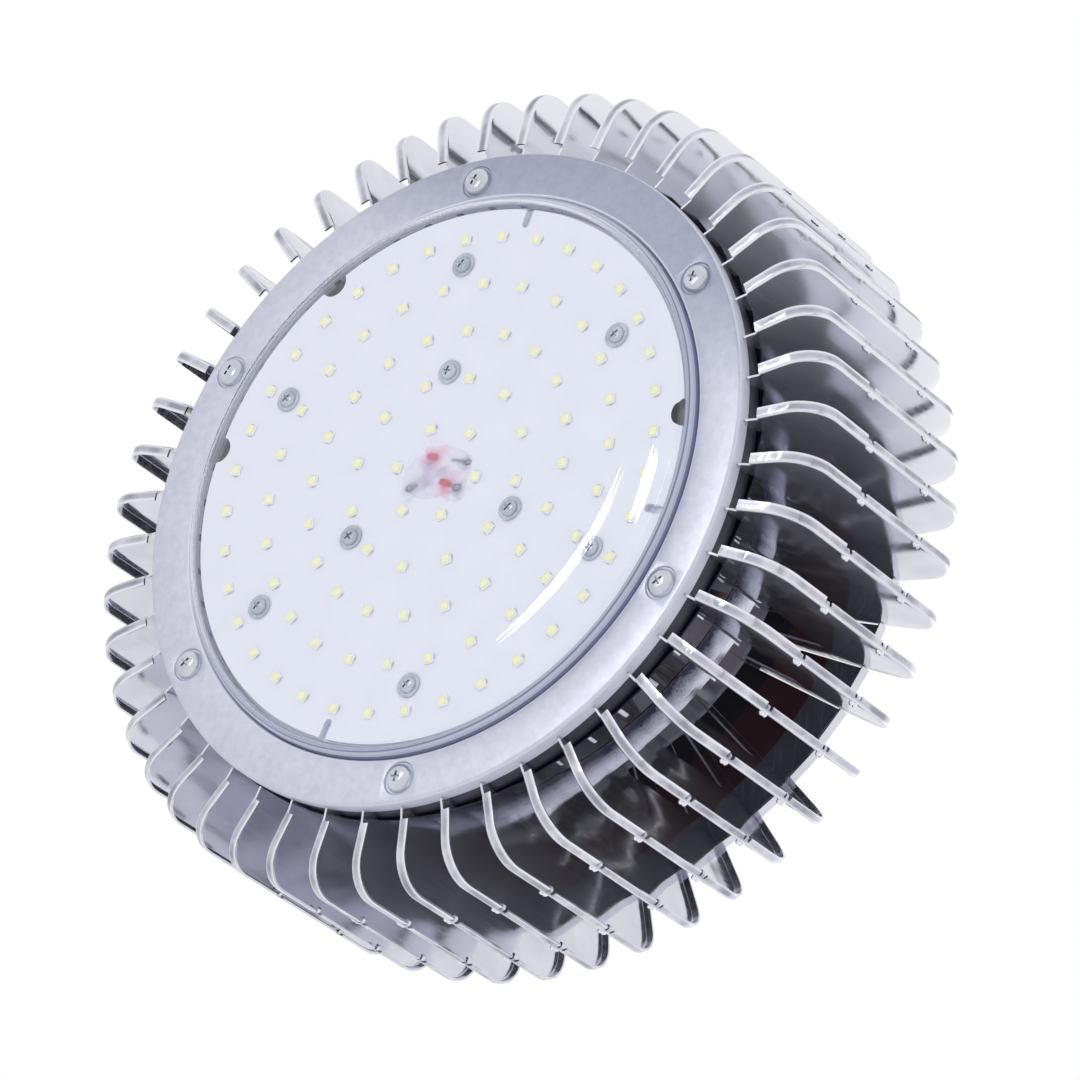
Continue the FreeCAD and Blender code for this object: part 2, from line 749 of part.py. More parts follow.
def spin_on_posts(label, master):
    """A node of separate solids with the master standing on each standoff's centre."""
    shifted = doc.addObject("Part::Compound", label + "_shifted")
    link = doc.addObject("App::Link", label + "_at")
    link.LinkedObject = master
    link.setExpression("Placement.Base.x", POST_CIRCLE.text)
    shifted.Links = [link]
    doc.recompute()
    count = int(DIMENSIONS["post_count"])
    return spin_group(label, shifted, [45.0 + FULL_TURN_DEGREES * i / count for i in range(count)])


def make_standoffs():
    """Posts from the base plate to the rear disc, with a stud in front and a tapped rear end."""
    stud = dim("post_stud")
    radius = dim("post_radius")
    bore = dim("disc_screw_radius") + dim("thread_clearance")
    start = PLATE_BACK
    bottom = DISC_BACK - dim("disc_screw_length") - 1
    master = lathe("standoff", [
        (0, start - dim("post_stud_length")), (stud, start - dim("post_stud_length")), (stud, start),
        (radius, start), (radius, DISC_FRONT), (bore, DISC_FRONT), (bore, bottom), (0, bottom)])
    return spin_on_posts("standoffs", master)


def make_rear_disc():
    """Rear disc that carries the whole lamp: hanging boss, gland hole and screw holes."""
    thread = dim("hanger_radius")
    body = lathe("rear_disc", [
        (thread, DISC_FRONT), (DISC_RADIUS, DISC_FRONT), (DISC_RADIUS, DISC_BACK),
        (dim("boss_radius"), DISC_BACK), (dim("boss_radius"), BOSS_TOP), (thread, BOSS_TOP)])
    holes = add_sketch(body, "disc_holes", "XY_Plane", DISC_BACK)
    for across, up in post_points():
        draw_circle(holes, across, up, dim("disc_screw_radius") + dim("hole_clearance"))
    draw_circle(holes, GLAND_AT, 0, dim("gland_thread") + dim("thread_clearance"))
    pocket(body, holes, dim("disc_thick"), "disc_hole_cut")
    place(body)
    return body


def make_gland():
    """Cable gland: threaded spigot, hexagon and rounded clamping nut, bored through."""
    body = new_body("cable_gland")
    at = GLAND_AT
    spigot = add_sketch(body, "gland_spigot", "XY_Plane", DISC_FRONT - dim("gland_inside"))
    draw_circle(spigot, at, 0, dim("gland_thread"))
    pad(body, spigot, dim("gland_inside") + dim("disc_thick"), "gland_spigot_pad")
    hexagon = add_sketch(body, "gland_hexagon", "XY_Plane", DISC_BACK)
    draw_hexagon(hexagon, at, dim("gland_hex"))
    pad(body, hexagon, dim("gland_hex_high"), "gland_hexagon_pad")
    nut = add_sketch(body, "gland_nut", "XY_Plane", DISC_BACK + dim("gland_hex_high"))
    draw_circle(nut, at, 0, dim("gland_nut_radius"))
    pad(body, nut, dim("gland_nut_high"), "gland_nut_pad")
    top = (DISC_BACK + dim("gland_hex_high") + dim("gland_nut_high")).value
    cut_edges(body, lambda b: near(b.ZMin, top) and near(b.ZMax, top), dim("gland_nut_high") / 3, "gland_nut_taper")
    bore = add_sketch(body, "gland_bore", "XY_Plane", DISC_BACK + dim("gland_hex_high") + dim("gland_nut_high"))
    draw_circle(bore, at, 0, dim("gland_bore"))
    pocket(body, bore, dim("gland_nut_high") + dim("gland_hex_high") + dim("disc_thick") + dim("gland_inside"),
           "gland_bore_cut")
    place(body)
    return body


def make_wires():
    """Two lead wires from the joint through the wire hole, bent across to the gland's spigot."""
    spread = DIMENSIONS["wire_spread"]
    radius = DIMENSIONS["wire_radius"]
    across = GLAND_AT.value
    clearance = DIMENSIONS["fin_gap"]
    front = clearance / 2
    rear = DISC_FRONT.value - DIMENSIONS["gland_inside"] - clearance
    low = PLATE_BACK.value + DIMENSIONS["wire_straight"]
    high = rear - DIMENSIONS["wire_straight"]
    tubes = []
    for side in (-spread, spread):
        points = [Vector(0, side, front), Vector(0, side, low), Vector(across, side * 0.6, high),
                  Vector(across, side * 0.6, rear)]
        wire = Part.makePolygon(points)
        section = Part.Wire(Part.Circle(points[0], Vector(0, 0, 1), radius).toShape())
        tubes.append(wire.makePipeShell([section], True, False, 1))
    group = doc.addObject("Part::Feature", "lead_wires")
    group.Label = "lead_wires"
    group.Shape = Part.makeCompound(tubes)
    place(group)
    return group


def make_joint():
    """Mound of silicone over the wire joint: a pad on the board whose sides lean inwards."""
    body = new_body("wire_joint")
    sketch = add_sketch(body, "joint_outline", "XY_Plane")
    turns = [as_size(FULL_TURN_DEGREES * step / JOINT_CORNERS) for step in range(JOINT_CORNERS)]
    draw_outline(sketch, [
        (dim("joint_width") * cosine(turn), dim("joint_length") * sine(turn)) for turn in turns])
    mound = pad(body, sketch, dim("joint_high"), "joint_mound")
    mound.Reversed = True
    mound.setExpression("TaperAngle", (-dim("joint_slope")).text)
    doc.recompute()
    place(body)
    return body


def export(nodes):
    """Check every object of the document and write one STEP file for each node."""
    doc.recompute()
    for obj in doc.Objects:
        if "Invalid" in obj.State or "Error" in obj.State:
            raise RuntimeError("%s is not sound: %s" % (obj.Label, obj.State))
    os.makedirs("parts", exist_ok=True)
    for node in nodes:
        shape = Part.getShape(node)
        if shape.isNull() or not shape.isValid():
            raise RuntimeError("%s has no sound shape" % node.Label)
        shape.exportStep("parts/%s.step" % node.Label)


nodes = [
    make_base_plate(),
    make_bezel(),
    make_lens(),
    make_gasket(),
    make_board(),
    make_leds(),
    make_joint(),
    make_wires(),
    make_standoffs(),
    make_rear_disc(),
    make_disc_screws(),
    make_gland(),
]
nodes += make_screws()
nodes += make_fin_ring()
export(nodes)
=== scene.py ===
"""Looks of a high bay light: folded fins, bezel, clear lens, board with light sources and rear fittings."""

import logging
import math
import random
from collections.abc import Callable, Mapping, Sequence
from dataclasses import dataclass
from enum import Enum, IntEnum

import bmesh
import bpy
from mathutils import Matrix, Vector


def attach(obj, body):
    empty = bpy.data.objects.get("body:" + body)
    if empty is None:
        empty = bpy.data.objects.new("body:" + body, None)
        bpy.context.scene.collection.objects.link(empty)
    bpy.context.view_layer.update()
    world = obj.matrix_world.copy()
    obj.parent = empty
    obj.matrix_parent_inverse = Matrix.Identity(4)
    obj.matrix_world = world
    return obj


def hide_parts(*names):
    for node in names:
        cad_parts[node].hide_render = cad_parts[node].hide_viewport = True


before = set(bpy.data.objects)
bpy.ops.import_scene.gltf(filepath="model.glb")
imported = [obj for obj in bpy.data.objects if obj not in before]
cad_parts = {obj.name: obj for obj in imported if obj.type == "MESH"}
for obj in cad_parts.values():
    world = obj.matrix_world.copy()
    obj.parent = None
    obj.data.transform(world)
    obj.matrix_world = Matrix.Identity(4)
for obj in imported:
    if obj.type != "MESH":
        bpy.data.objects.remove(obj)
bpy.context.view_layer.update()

log = logging.getLogger("high_bay_light")

MM = 0.001
BOSS_TOP = 87.0
FLAT = (1.0, 1.0, 0.0)
Point = tuple[float, float, float]
Place = tuple[float, float]
Test = Callable[[Vector], bool]
Piece = bpy.types.Object
Socket = bpy.types.NodeSocket
Material = bpy.types.Material


def level(height: float) -> float:
    """Turn millimetres behind the bezel's face into metres above the top of the hanging boss."""
    return (height - BOSS_TOP) * MM


def at(radius: float, height: float, side: float = 0.0) -> Point:
    """Give a point in metres from its X, its height behind the bezel and its Y in millimetres."""
    return (radius * MM, side * MM, level(height))


def polar(radius: float, degrees: float, height: float = BOSS_TOP) -> Point:
    """Give a point in metres from its radius, its angle and its height behind the bezel."""
    turn = math.radians(degrees)
    return (radius * MM * math.cos(turn), radius * MM * math.sin(turn), level(height))


def in_mm(place: Vector) -> Vector:
    """Give a point in millimetres, with its height behind the bezel as its last number."""
    return Vector((place.x / MM, place.y / MM, place.z / MM + BOSS_TOP))


def near(value: float, target: float, slack: float = 0.02) -> bool:
    """Say whether two lengths in millimetres are the same within a slack."""
    return abs(value - target) < slack


def ring_places(radius: float, count: int, start: float) -> list[tuple[Point, float]]:
    """Spread places evenly on a circle: each in metres on the zero level, with its angle in degrees."""
    angles = [start + 360.0 * step / count for step in range(count)]
    return [(polar(radius, angle), angle) for angle in angles]


def arc(centre: Place, radius: float, start: float, end: float, steps: int) -> list[Point]:
    """Points of an arc in the upright plane of a profile.

    Args:
        centre: Radius and height of the arc's centre in millimetres.
        radius: Millimetres.
        start: Degrees from the outward direction towards the rear.
        end: Degrees, likewise.
        steps: Pieces in the arc.

    Returns:
        The points in metres.
    """
    turns = [math.radians(start + (end - start) * step / steps) for step in range(steps + 1)]
    return [at(centre[0] + radius * math.cos(turn), centre[1] + radius * math.sin(turn)) for turn in turns]


def select(piece: Piece) -> None:
    """Select one piece alone and make it the active one.

    Args:
        piece: The piece.
    """
    bpy.ops.object.select_all(action="DESELECT")
    piece.select_set(True)
    bpy.context.view_layer.objects.active = piece


def settle() -> None:
    """Apply the place, turn and size of the selected pieces to their meshes."""
    bpy.ops.object.transform_apply(location=True, rotation=True, scale=True)


class Grain(Enum):
    """What a modelling step selects."""

    POINT = "VERT"
    EDGE = "EDGE"
    FACE = "FACE"


class Work:
    """One mesh on the bench, shaped step by step in edit mode."""

    def __init__(self, piece: Piece) -> None:
        """Open a piece in edit mode.

        Args:
            piece: The piece to shape.
        """
        self.piece = piece
        select(piece)
        bpy.ops.object.mode_set(mode="EDIT")

    @classmethod
    def start(cls, name: str, kind: str = "plane", **settings: object) -> "Work":
        """Add a primitive and open it.

        Args:
            name: Name of the new piece.
            kind: Which primitive to add.
            settings: Size and place for the primitive's operator.

        Returns:
            The open piece.
        """
        bpy.ops.object.select_all(action="DESELECT")
        getattr(bpy.ops.mesh, "primitive_%s_add" % kind)(**settings)
        bpy.context.object.name = name
        settle()
        return cls(bpy.context.object)

    @classmethod
    def peg(cls, radius: float, depth: float, middle: Point, sides: int = 40) -> "Work":
        """Start an upright cylinder of a radius and depth in millimetres about a middle in metres."""
        size = {"radius": radius * MM, "depth": depth * MM}
        return cls.start("peg", "cylinder", vertices=sides, location=middle, **size)

    @classmethod
    def block(cls, size: Point, middle: Point, kind: str = "cube", **settings: object) -> "Work":
        """Start a cube or a ball and stretch it.

        Args:
            size: Its three sizes in millimetres, or half of them for a ball.
            middle: Its middle in metres.
            kind: Which primitive to stretch.
            settings: Settings for a primitive other than the cube.

        Returns:
            The open block.
        """
        work = cls.start(kind, kind, location=middle, **(settings or {"size": MM}))
        work.everything()
        work.stretch(size, middle)
        return work

    def close(self, name: str = "") -> Piece:
        """Leave edit mode.

        Args:
            name: New name of the piece, or nothing to keep the old one.

        Returns:
            The shaped piece.
        """
        bpy.ops.object.mode_set(mode="OBJECT")
        self.piece.name = name or self.piece.name
        return self.piece

    def pick(self, grain: Grain, test: Test, middle: bool = False, rim: bool = False) -> None:
        """Select what lies where the test says.

        Args:
            grain: Points, edges or faces.
            test: Takes a place in millimetres, with the height behind the bezel as its last number.
            middle: Test only the middle of each edge or face and not all of its corners.
            rim: Take open edges alone.
        """
        bpy.ops.mesh.select_mode(type=grain.value)
        bpy.ops.mesh.select_all(action="DESELECT")
        mesh = bmesh.from_edit_mesh(self.piece.data)
        for part in {Grain.POINT: mesh.verts, Grain.EDGE: mesh.edges, Grain.FACE: mesh.faces}[grain]:
            corners = [in_mm(vertex.co) for vertex in ([part] if grain is Grain.POINT else part.verts)]
            if middle:
                corners = [sum(corners, Vector()) / len(corners)]
            if all(map(test, corners)) and (not rim or part.is_boundary):
                part.select_set(True)
        mesh.select_flush_mode()
        bmesh.update_edit_mesh(self.piece.data)

    def pick_rim(self, test: Test) -> None:
        """Select open edges whose two ends both pass the test."""
        self.pick(Grain.EDGE, test, rim=True)

    def everything(self) -> None:
        """Select the whole mesh."""
        bpy.ops.mesh.select_all(action="SELECT")

    def draw(self, points: Sequence[Point], closed: bool = True) -> None:
        """Shrink the primitive to one point and extrude it along an outline.

        Args:
            points: Corners of the outline in metres.
            closed: Join the last corner to the first.
        """
        self.everything()
        bpy.ops.mesh.merge(type="CENTER")
        bpy.ops.mesh.select_mode(type="VERT")
        self.everything()
        self.move(points[0])
        for before, after in zip(points, points[1:]):
            step = Vector(after) - Vector(before)
            bpy.ops.mesh.extrude_region_move(TRANSFORM_OT_translate={"value": step})
        if closed:
            ends = [in_mm(Vector(points[0])), in_mm(Vector(points[-1]))]
            self.pick(Grain.POINT, lambda p: any((p - end).length < 0.001 for end in ends))
            bpy.ops.mesh.edge_face_add()

    def fill(self) -> None:
        """Lay one face into a closed outline."""
        self.everything()
        bpy.ops.mesh.edge_face_add()

    def round_points(self, test: Test, radius: float, segments: int) -> None:
        """Round the corners of an outline that pass a test to a radius in millimetres."""
        self.pick(Grain.POINT, test)
        bpy.ops.mesh.bevel(offset=radius * MM, segments=segments, affect="VERTICES")

    def fold(self, shift: Point) -> None:
        """Fold the selected edges out by a shift in millimetres."""
        bpy.ops.mesh.extrude_edges_move(TRANSFORM_OT_translate={"value": Vector(shift) * MM})

    def move(self, shift: Point) -> None:
        """Move the selection by a shift in metres."""
        bpy.ops.transform.translate(value=shift)

    def stretch(self, shares: Point, middle: Point) -> None:
        """Scale the selection about a point in metres."""
        bpy.ops.transform.resize(value=shares, center_override=middle)

    def cut(self, place: Point, normal: Point, **settings: object) -> None:
        """Score a straight line through the whole mesh, or cut it off there."""
        self.everything()
        bpy.ops.mesh.bisect(plane_co=place, plane_no=normal, **settings)

    def bevel(self, width: float, segments: int) -> None:
        """Round the selected edges over a width in millimetres."""
        bpy.ops.mesh.bevel(offset=width * MM, segments=segments, affect="EDGES")

    def patch(self, middle: Point, wide: float, high: float) -> None:
        """Add an upright rectangle that faces outwards.

        Args:
            middle: Its middle in metres.
            wide: Millimetres sideways.
            high: Millimetres from front to rear.
        """
        bpy.ops.mesh.select_all(action="DESELECT")
        bpy.ops.mesh.primitive_plane_add(size=MM, location=middle, rotation=(0, math.pi / 2, 0))
        self.stretch((1, wide, high), middle)

    def tidy(self) -> None:
        """Merge doubled points and turn all faces outwards."""
        self.everything()
        bpy.ops.mesh.remove_doubles(threshold=2e-7)
        bpy.ops.mesh.normals_make_consistent(inside=False)

    def spin(self, steps: int) -> Piece:
        """Turn the whole outline once round the vertical axis.

        Args:
            steps: Pieces in the turn.

        Returns:
            The finished piece.
        """
        self.everything()
        bpy.ops.mesh.spin(steps=steps, angle=math.tau, center=(0, 0, 0), axis=(0, 0, 1))
        self.tidy()
        return self.close()


def apply_modifier(piece: Piece, kind: str, **settings: object) -> None:
    """Add a modifier with its settings and apply it.

    Args:
        piece: The object to change.
        kind: Blender's name of the modifier type.
        settings: Values for the modifier.
    """
    select(piece)
    modifier = piece.modifiers.new(kind.lower(), kind)
    for name, value in settings.items():
        setattr(modifier, name, value)
    bpy.ops.object.modifier_apply(modifier=modifier.name)


def soften(piece: Piece, width: float, segments: int, degrees: float) -> None:
    """Bevel the edges that are sharper than an angle over a width in millimetres."""
    size = {"width": width * MM, "segments": segments}
    apply_modifier(piece, "BEVEL", limit_method="ANGLE", angle_limit=math.radians(degrees), **size)


def remove(piece: Piece) -> None:
    """Throw a model piece away once it has done its work."""
    bpy.data.objects.remove(piece, do_unlink=True)


def drill(piece: Piece, cutter: Piece) -> None:
    """Cut one closed shape out of another and throw the cutter away."""
    apply_modifier(piece, "BOOLEAN", operation="DIFFERENCE", solver="EXACT", object=cutter)
    remove(cutter)


def copy(piece: Piece, name: str, angle: float, shift: Point = (0.0, 0.0, 0.0)) -> Piece:
    """Copy a piece with its own mesh, turn the copy about the vertical axis and move it.

    Args:
        piece: The model piece.
        name: Name of the copy.
        angle: Degrees.
        shift: Metres.

    Returns:
        The copy.
    """
    select(piece)
    bpy.ops.object.duplicate(linked=False)
    made = bpy.context.object
    made.name = name
    made.rotation_euler = (0, 0, math.radians(angle))
    made.location = shift
    settle()
    return made


def join(pieces: Sequence[Piece], name: str) -> Piece:
    """Join several pieces into one.

    Args:
        pieces: What to join.
        name: Name of the result.

    Returns:
        The joined object.
    """
    select(pieces[0])
    for piece in pieces:
        piece.select_set(True)
    bpy.ops.object.join()
    pieces[0].name = name
    return pieces[0]


def spread(model: Piece, places: Sequence[tuple[Point, float]], name: str) -> Piece:
    """Copy a model to many places, join the copies and throw the model away.

    Args:
        model: The model on the axis.
        places: Shift in metres and turn in degrees of each copy.
        name: Name of the result.

    Returns:
        One object with all copies.
    """
    made = [copy(model, name + "_copy", angle, shift) for shift, angle in places]
    remove(model)
    return join(made, name)


class Nodes:
    """A node tree with short ways to add and join its nodes."""

    def __init__(self, owner: bpy.types.ID) -> None:
        """Empty the node tree of a material or a world.

        Args:
            owner: The material or world.
        """
        owner.use_nodes = True
        self.tree = owner.node_tree
        self.tree.nodes.clear()

    def feed(self, socket: Socket, value: object) -> None:
        """Give a socket its value.

        Args:
            socket: The socket to feed.
            value: Another socket, a colour without its alpha, or a value of the socket's own kind.
        """
        if isinstance(value, bpy.types.NodeSocket):
            self.tree.links.new(value, socket)
        else:
            socket.default_value = (*value, 1.0) if socket.type == "RGBA" else value

    def add(self, kind: str, inputs: Mapping[str | int, object] | None = None,
            **settings: object) -> bpy.types.Node:
        """Add a node, set its options and feed its inputs.

        Args:
            kind: Blender's name of the node type.
            inputs: Value or socket for each input.
            settings: Options of the node.

        Returns:
            The node.
        """
        node = self.tree.nodes.new(kind)
        for name, value in settings.items():
            setattr(node, name, value)
        for name, value in (inputs or {}).items():
            self.feed(node.inputs[name], value)
        return node

    def places(self, scale: Point = (1, 1, 1), source: str = "Object") -> Socket:
        """Coordinates of each place, stretched by a scale on each axis."""
        origin = self.add("ShaderNodeTexCoord").outputs[source]
        return self.add("ShaderNodeMapping", {"Vector": origin, "Scale": scale}).outputs["Vector"]

    def axes(self) -> bpy.types.Node:
        """Node with the three coordinates of each place."""
        return self.add("ShaderNodeSeparateXYZ", {0: self.places()})

    def measure(self, how: str, other: Point = (0, 0, 0), scale: Point = (1, 1, 1),
                source: str = "Object") -> Socket:
        """Measure each place: its length, its distance from a point or its reach along a direction."""
        inputs = {0: self.places(scale, source), 1: other}
        return self.add("ShaderNodeVectorMath", inputs, operation=how).outputs["Value"]

    def from_axis(self) -> Socket:
        """Distance of each place from the lamp's axis."""
        return self.measure("LENGTH", scale=FLAT)

    def noise(self, scale: float, detail: float = 3.0, stretch: Point = (1, 1, 1)) -> Socket:
        """Noise with so many cells in a metre and so many octaves, stretched on each axis."""
        inputs = {"Scale": scale, "Detail": detail, "Vector": self.places(stretch)}
        return self.add("ShaderNodeTexNoise", inputs).outputs["Fac"]

    def wave(self, kind: str, scale: float, distortion: float, stretch: Point = (1, 1, 1)) -> Socket:
        """Waves along or round the vertical axis.

        Args:
            kind: BANDS or RINGS.
            scale: How close they lie.
            distortion: How much they waver.
            stretch: How much to stretch each axis of the pattern.

        Returns:
            The height of the wave.
        """
        inputs = {"Scale": scale, "Distortion": distortion, "Vector": self.places(stretch)}
        settings = {"wave_type": kind, kind.lower() + "_direction": "Z"}
        return self.add("ShaderNodeTexWave", inputs, **settings).outputs["Fac"]

    def ramp(self, source: Socket, low: float, high: float, start: object = 0.0, end: object = 1.0,
             soft: bool = False) -> Socket:
        """Map a value onto two colours or two numbers.

        Args:
            source: The value to map.
            low: Value that gives the start.
            high: Value that gives the end.
            start: Colour or number at the low value.
            end: Colour or number at the high value.
            soft: Leave and reach two numbers softly.

        Returns:
            The mapped colour or number.
        """
        if isinstance(start, float):
            inputs = {"Value": source, "From Min": low, "From Max": high, "To Min": start, "To Max": end}
            how = "SMOOTHSTEP" if soft else "LINEAR"
            return self.add("ShaderNodeMapRange", inputs, interpolation_type=how).outputs["Result"]
        node = self.add("ShaderNodeValToRGB", {"Fac": source})
        for element, place, colour in zip(node.color_ramp.elements, (low, high), (start, end)):
            element.position = place
            element.color = (*colour, 1.0)
        return node.outputs["Color"]

    def between(self, value: Socket, low: float, high: float, soft: float) -> Socket:
        """Give one where a value lies between two limits, and zero outside, with soft edges."""
        return self.combine(
            "MULTIPLY", self.ramp(value, low, low + soft), self.ramp(value, high - soft, high, 1.0, 0.0))

    def combine(self, operation: str, *values: object) -> Socket:
        """Combine values or numbers, one after the other.

        Args:
            operation: Name of the arithmetic.
            values: Two or more values, or one for an operation on one value.

        Returns:
            The result.
        """
        result = values[0]
        for value in values[1:] or (0.0,):
            result = self.add("ShaderNodeMath", {0: result, 1: value}, operation=operation).outputs[0]
        return result

    def blend(self, share: Socket, first: object, second: object, kind: str = "MIX") -> Socket:
        """Blend two colours, each a pattern or one plain colour, by the share of the second one."""
        inputs = {"Factor": share, "A": first, "B": second}
        return self.add("ShaderNodeMix", inputs, data_type="RGBA", blend_type=kind).outputs["Result"]

    def mix(self, share: Socket, first: Socket, second: Socket) -> Socket:
        """Mix two shaders by the share of the second one."""
        return self.add("ShaderNodeMixShader", {"Fac": share, 1: first, 2: second}).outputs[0]

    def bump(self, source: Socket, strength: float, distance: float, below: Socket | None = None) -> Socket:
        """Raise the surface by a value.

        Args:
            source: Height value.
            strength: How strongly it shows.
            distance: Height in metres of a value of one.
            below: A bump that this one lies on.

        Returns:
            The bent normal.
        """
        inputs = {"Height": source, "Strength": strength, "Distance": distance}
        if below is not None:
            inputs["Normal"] = below
        return self.add("ShaderNodeBump", inputs).outputs["Normal"]


class Paint(Nodes):
    """A new material with its main shader."""

    def __init__(self, name: str, **values: float) -> None:
        """Start a material.

        Args:
            name: Name of the material.
            values: Plain values for the shader's inputs, with underscores for spaces.
        """
        self.material = bpy.data.materials.new(name)
        super().__init__(self.material)
        inputs = {key.replace("_", " "): value for key, value in values.items()}
        self.shader = self.add("ShaderNodeBsdfPrincipled", inputs)
        self.output = self.add("ShaderNodeOutputMaterial", {"Surface": self.shader.outputs[0]})

    def show(self, surface: Socket) -> Material:
        """Show another shader than the main one.

        Args:
            surface: The shader.

        Returns:
            The material.
        """
        self.feed(self.output.inputs["Surface"], surface)
        return self.material

    def wear(self, colour: object, rough: object, normal: Socket | None = None,
             metal: object = 0.0) -> Material:
        """Use patterns or plain values on the main shader.

        Args:
            colour: Its colour.
            rough: Its roughness.
            normal: Its bent normal.
            metal: How metallic it is.

        Returns:
            The material.
        """
        parts = {"Base Color": colour, "Roughness": rough, "Metallic": metal}
        if normal is not None:
            parts["Normal"] = normal
        for name, value in parts.items():
            self.feed(self.shader.inputs[name], value)
        return self.material

    def clear(self, body: Socket, tint: Point) -> Material:
        """Show a clear body that lets lamps and soft light through, so that what is under it is lit.

        Args:
            body: The shader that the camera sees.
            tint: Colour of the light let through.

        Returns:
            The material.
        """
        path = self.add("ShaderNodeLightPath").outputs
        clear = self.add("ShaderNodeBsdfTransparent", {"Color": tint})
        either = self.combine("MAXIMUM", path["Is Shadow Ray"], path["Is Diffuse Ray"])
        return self.show(self.mix(either, body, clear.outputs[0]))


@dataclass(frozen=True)
class BrightSheet:
    """Rolled bright aluminium sheet: nearly a mirror, faint rolling lines, painted light brightens one side.
    """

    light: Point = (0.79, 0.79, 0.86)
    dark: Point = (0.665, 0.665, 0.735)
    painted_light_tint: Point = (0.88, 0.886, 0.928)
    painted_light_side: Point = (6.0, -8.0, 0.0)
    painted_light_from: float = 0.50
    painted_light_to: float = 0.95
    smooth: float = 0.07
    rough: float = 0.18
    metal: float = 0.90

    def build(self) -> Material:
        """Make the material.

        Returns:
            The material.
        """
        nodes = Paint("bright_sheet")
        lines = nodes.noise(900.0, 3.0, (1.0, 1.0, 0.04))
        plain = nodes.ramp(nodes.noise(70.0, 6.0), 0.35, 0.7, self.light, self.dark)
        # painted light: the sheet turns brighter towards one side of the ring
        side = nodes.measure("DOT_PRODUCT", self.painted_light_side)
        share = nodes.ramp(side, self.painted_light_from, self.painted_light_to, soft=True)
        waves = nodes.bump(nodes.noise(24.0, 2.0, (1.0, 1.0, 0.45)), 0.8, 0.0022)
        return nodes.wear(
            nodes.blend(share, plain, self.painted_light_tint), nodes.ramp(lines, 0.3, 0.75, self.smooth, self.rough),
            nodes.bump(lines, 0.10, 0.00003, waves), self.metal)


@dataclass(frozen=True)
class FoldedLip:
    """The fins' folded lip: painted shade in a band along its middle, bright edges as painted highlights."""

    bright: Point = (0.87, 0.87, 0.94)
    painted_band_shade: Point = (0.35, 0.355, 0.42)
    band_from: float = 0.40
    band_to: float = 2.70
    soft: float = 0.70

    def build(self) -> Material:
        """Make the material.

        Returns:
            The material.
        """
        nodes = Paint("folded_lip")
        across = nodes.add("ShaderNodeAttribute", attribute_name="across").outputs["Fac"]
        patches = nodes.noise(110.0, 3.0)
        # painted shade: a darker band along the lip's middle, broken by patches, leaves bright edges as
        # painted highlights
        band = nodes.between(across, self.band_from, self.band_to, self.soft)
        share = nodes.combine("MULTIPLY", band, nodes.ramp(patches, 0.35, 0.62, 0.35, 1.0))
        rough = nodes.ramp(nodes.noise(700.0, 3.0), 0.3, 0.7, 0.10, 0.26)
        colour = nodes.blend(share, self.bright, self.painted_band_shade)
        return nodes.wear(colour, rough, nodes.bump(patches, 0.6, 0.0008), 0.92)


@dataclass(frozen=True)
class PaintedShadeFlange:
    """Rear flanges' inner side: painted shade in rings, a painted reddish reflection in the middle one,
    scratches.
    """

    shade_black: Point = (0.034, 0.032, 0.042)
    reflected_red: Point = (0.105, 0.048, 0.056)
    shade_grey: Point = (0.16, 0.16, 0.20)
    scratch: Point = (0.25, 0.25, 0.31)
    reflected_red_from: float = 0.0658
    shade_grey_from: float = 0.0813
    soft: float = 0.0004

    def build(self) -> Material:
        """Make the material.

        Returns:
            The material.
        """
        nodes = Paint("flange_painted_shade")
        radius = nodes.from_axis()
        # painted shade: black inside, a painted reddish-brown reflection in the middle ring, grey outside;
        # the scratches are wear
        inner = nodes.ramp(radius, self.reflected_red_from, self.reflected_red_from + self.soft)
        outer = nodes.ramp(radius, self.shade_grey_from, self.shade_grey_from + self.soft)
        scratches = nodes.noise(700.0, 2.0, (1.0, 0.12, 1.0))
        wear_and_painted_light = nodes.ramp(scratches, 0.5, 0.72, self.shade_grey, self.scratch)
        colour = nodes.blend(outer, nodes.blend(inner, self.shade_black, self.reflected_red), wear_and_painted_light)
        rough = nodes.ramp(scratches, 0.3, 0.7, 0.3, 0.5)
        return nodes.wear(colour, rough, nodes.bump(scratches, 0.2, 0.00004), 0.25)


@dataclass(frozen=True)
class BasePlate:
    """The plate under the board: pale under the lens, with painted shade dark outside it and behind the
    notches.
    """

    pale: Point = (0.72, 0.73, 0.82)
    dark: Point = (0.060, 0.060, 0.085)
    pale_to: float = 0.0813
    soft: float = 0.0002
    holes: tuple[Place, ...] = ((75.5, -3.3), (75.5, -124.0), (75.5, -165.4))
    hole_radius: float = 0.0042

    def build(self) -> Material:
        """Make the material.

        Returns:
            The material.
        """
        nodes = Paint("base_plate_metal")
        # painted shade: dark outside the ring under the lens and inside the board's notches
        shade = nodes.ramp(nodes.from_axis(), self.pale_to, self.pale_to + self.soft)
        for hole in self.holes:
            away = nodes.measure("DISTANCE", polar(*hole), FLAT)
            inside = nodes.ramp(away, self.hole_radius, self.hole_radius + self.soft, 1.0, 0.0)
            shade = nodes.combine("MAXIMUM", shade, inside)
        rings = nodes.wave("RINGS", 900.0, 0.6, FLAT)
        rough = nodes.ramp(nodes.noise(240.0, 3.0), 0.3, 0.7, 0.3, 0.5)
        colour = nodes.blend(shade, self.pale, self.dark)
        return nodes.wear(colour, rough, nodes.bump(rings, 0.12, 0.00002), 0.5)


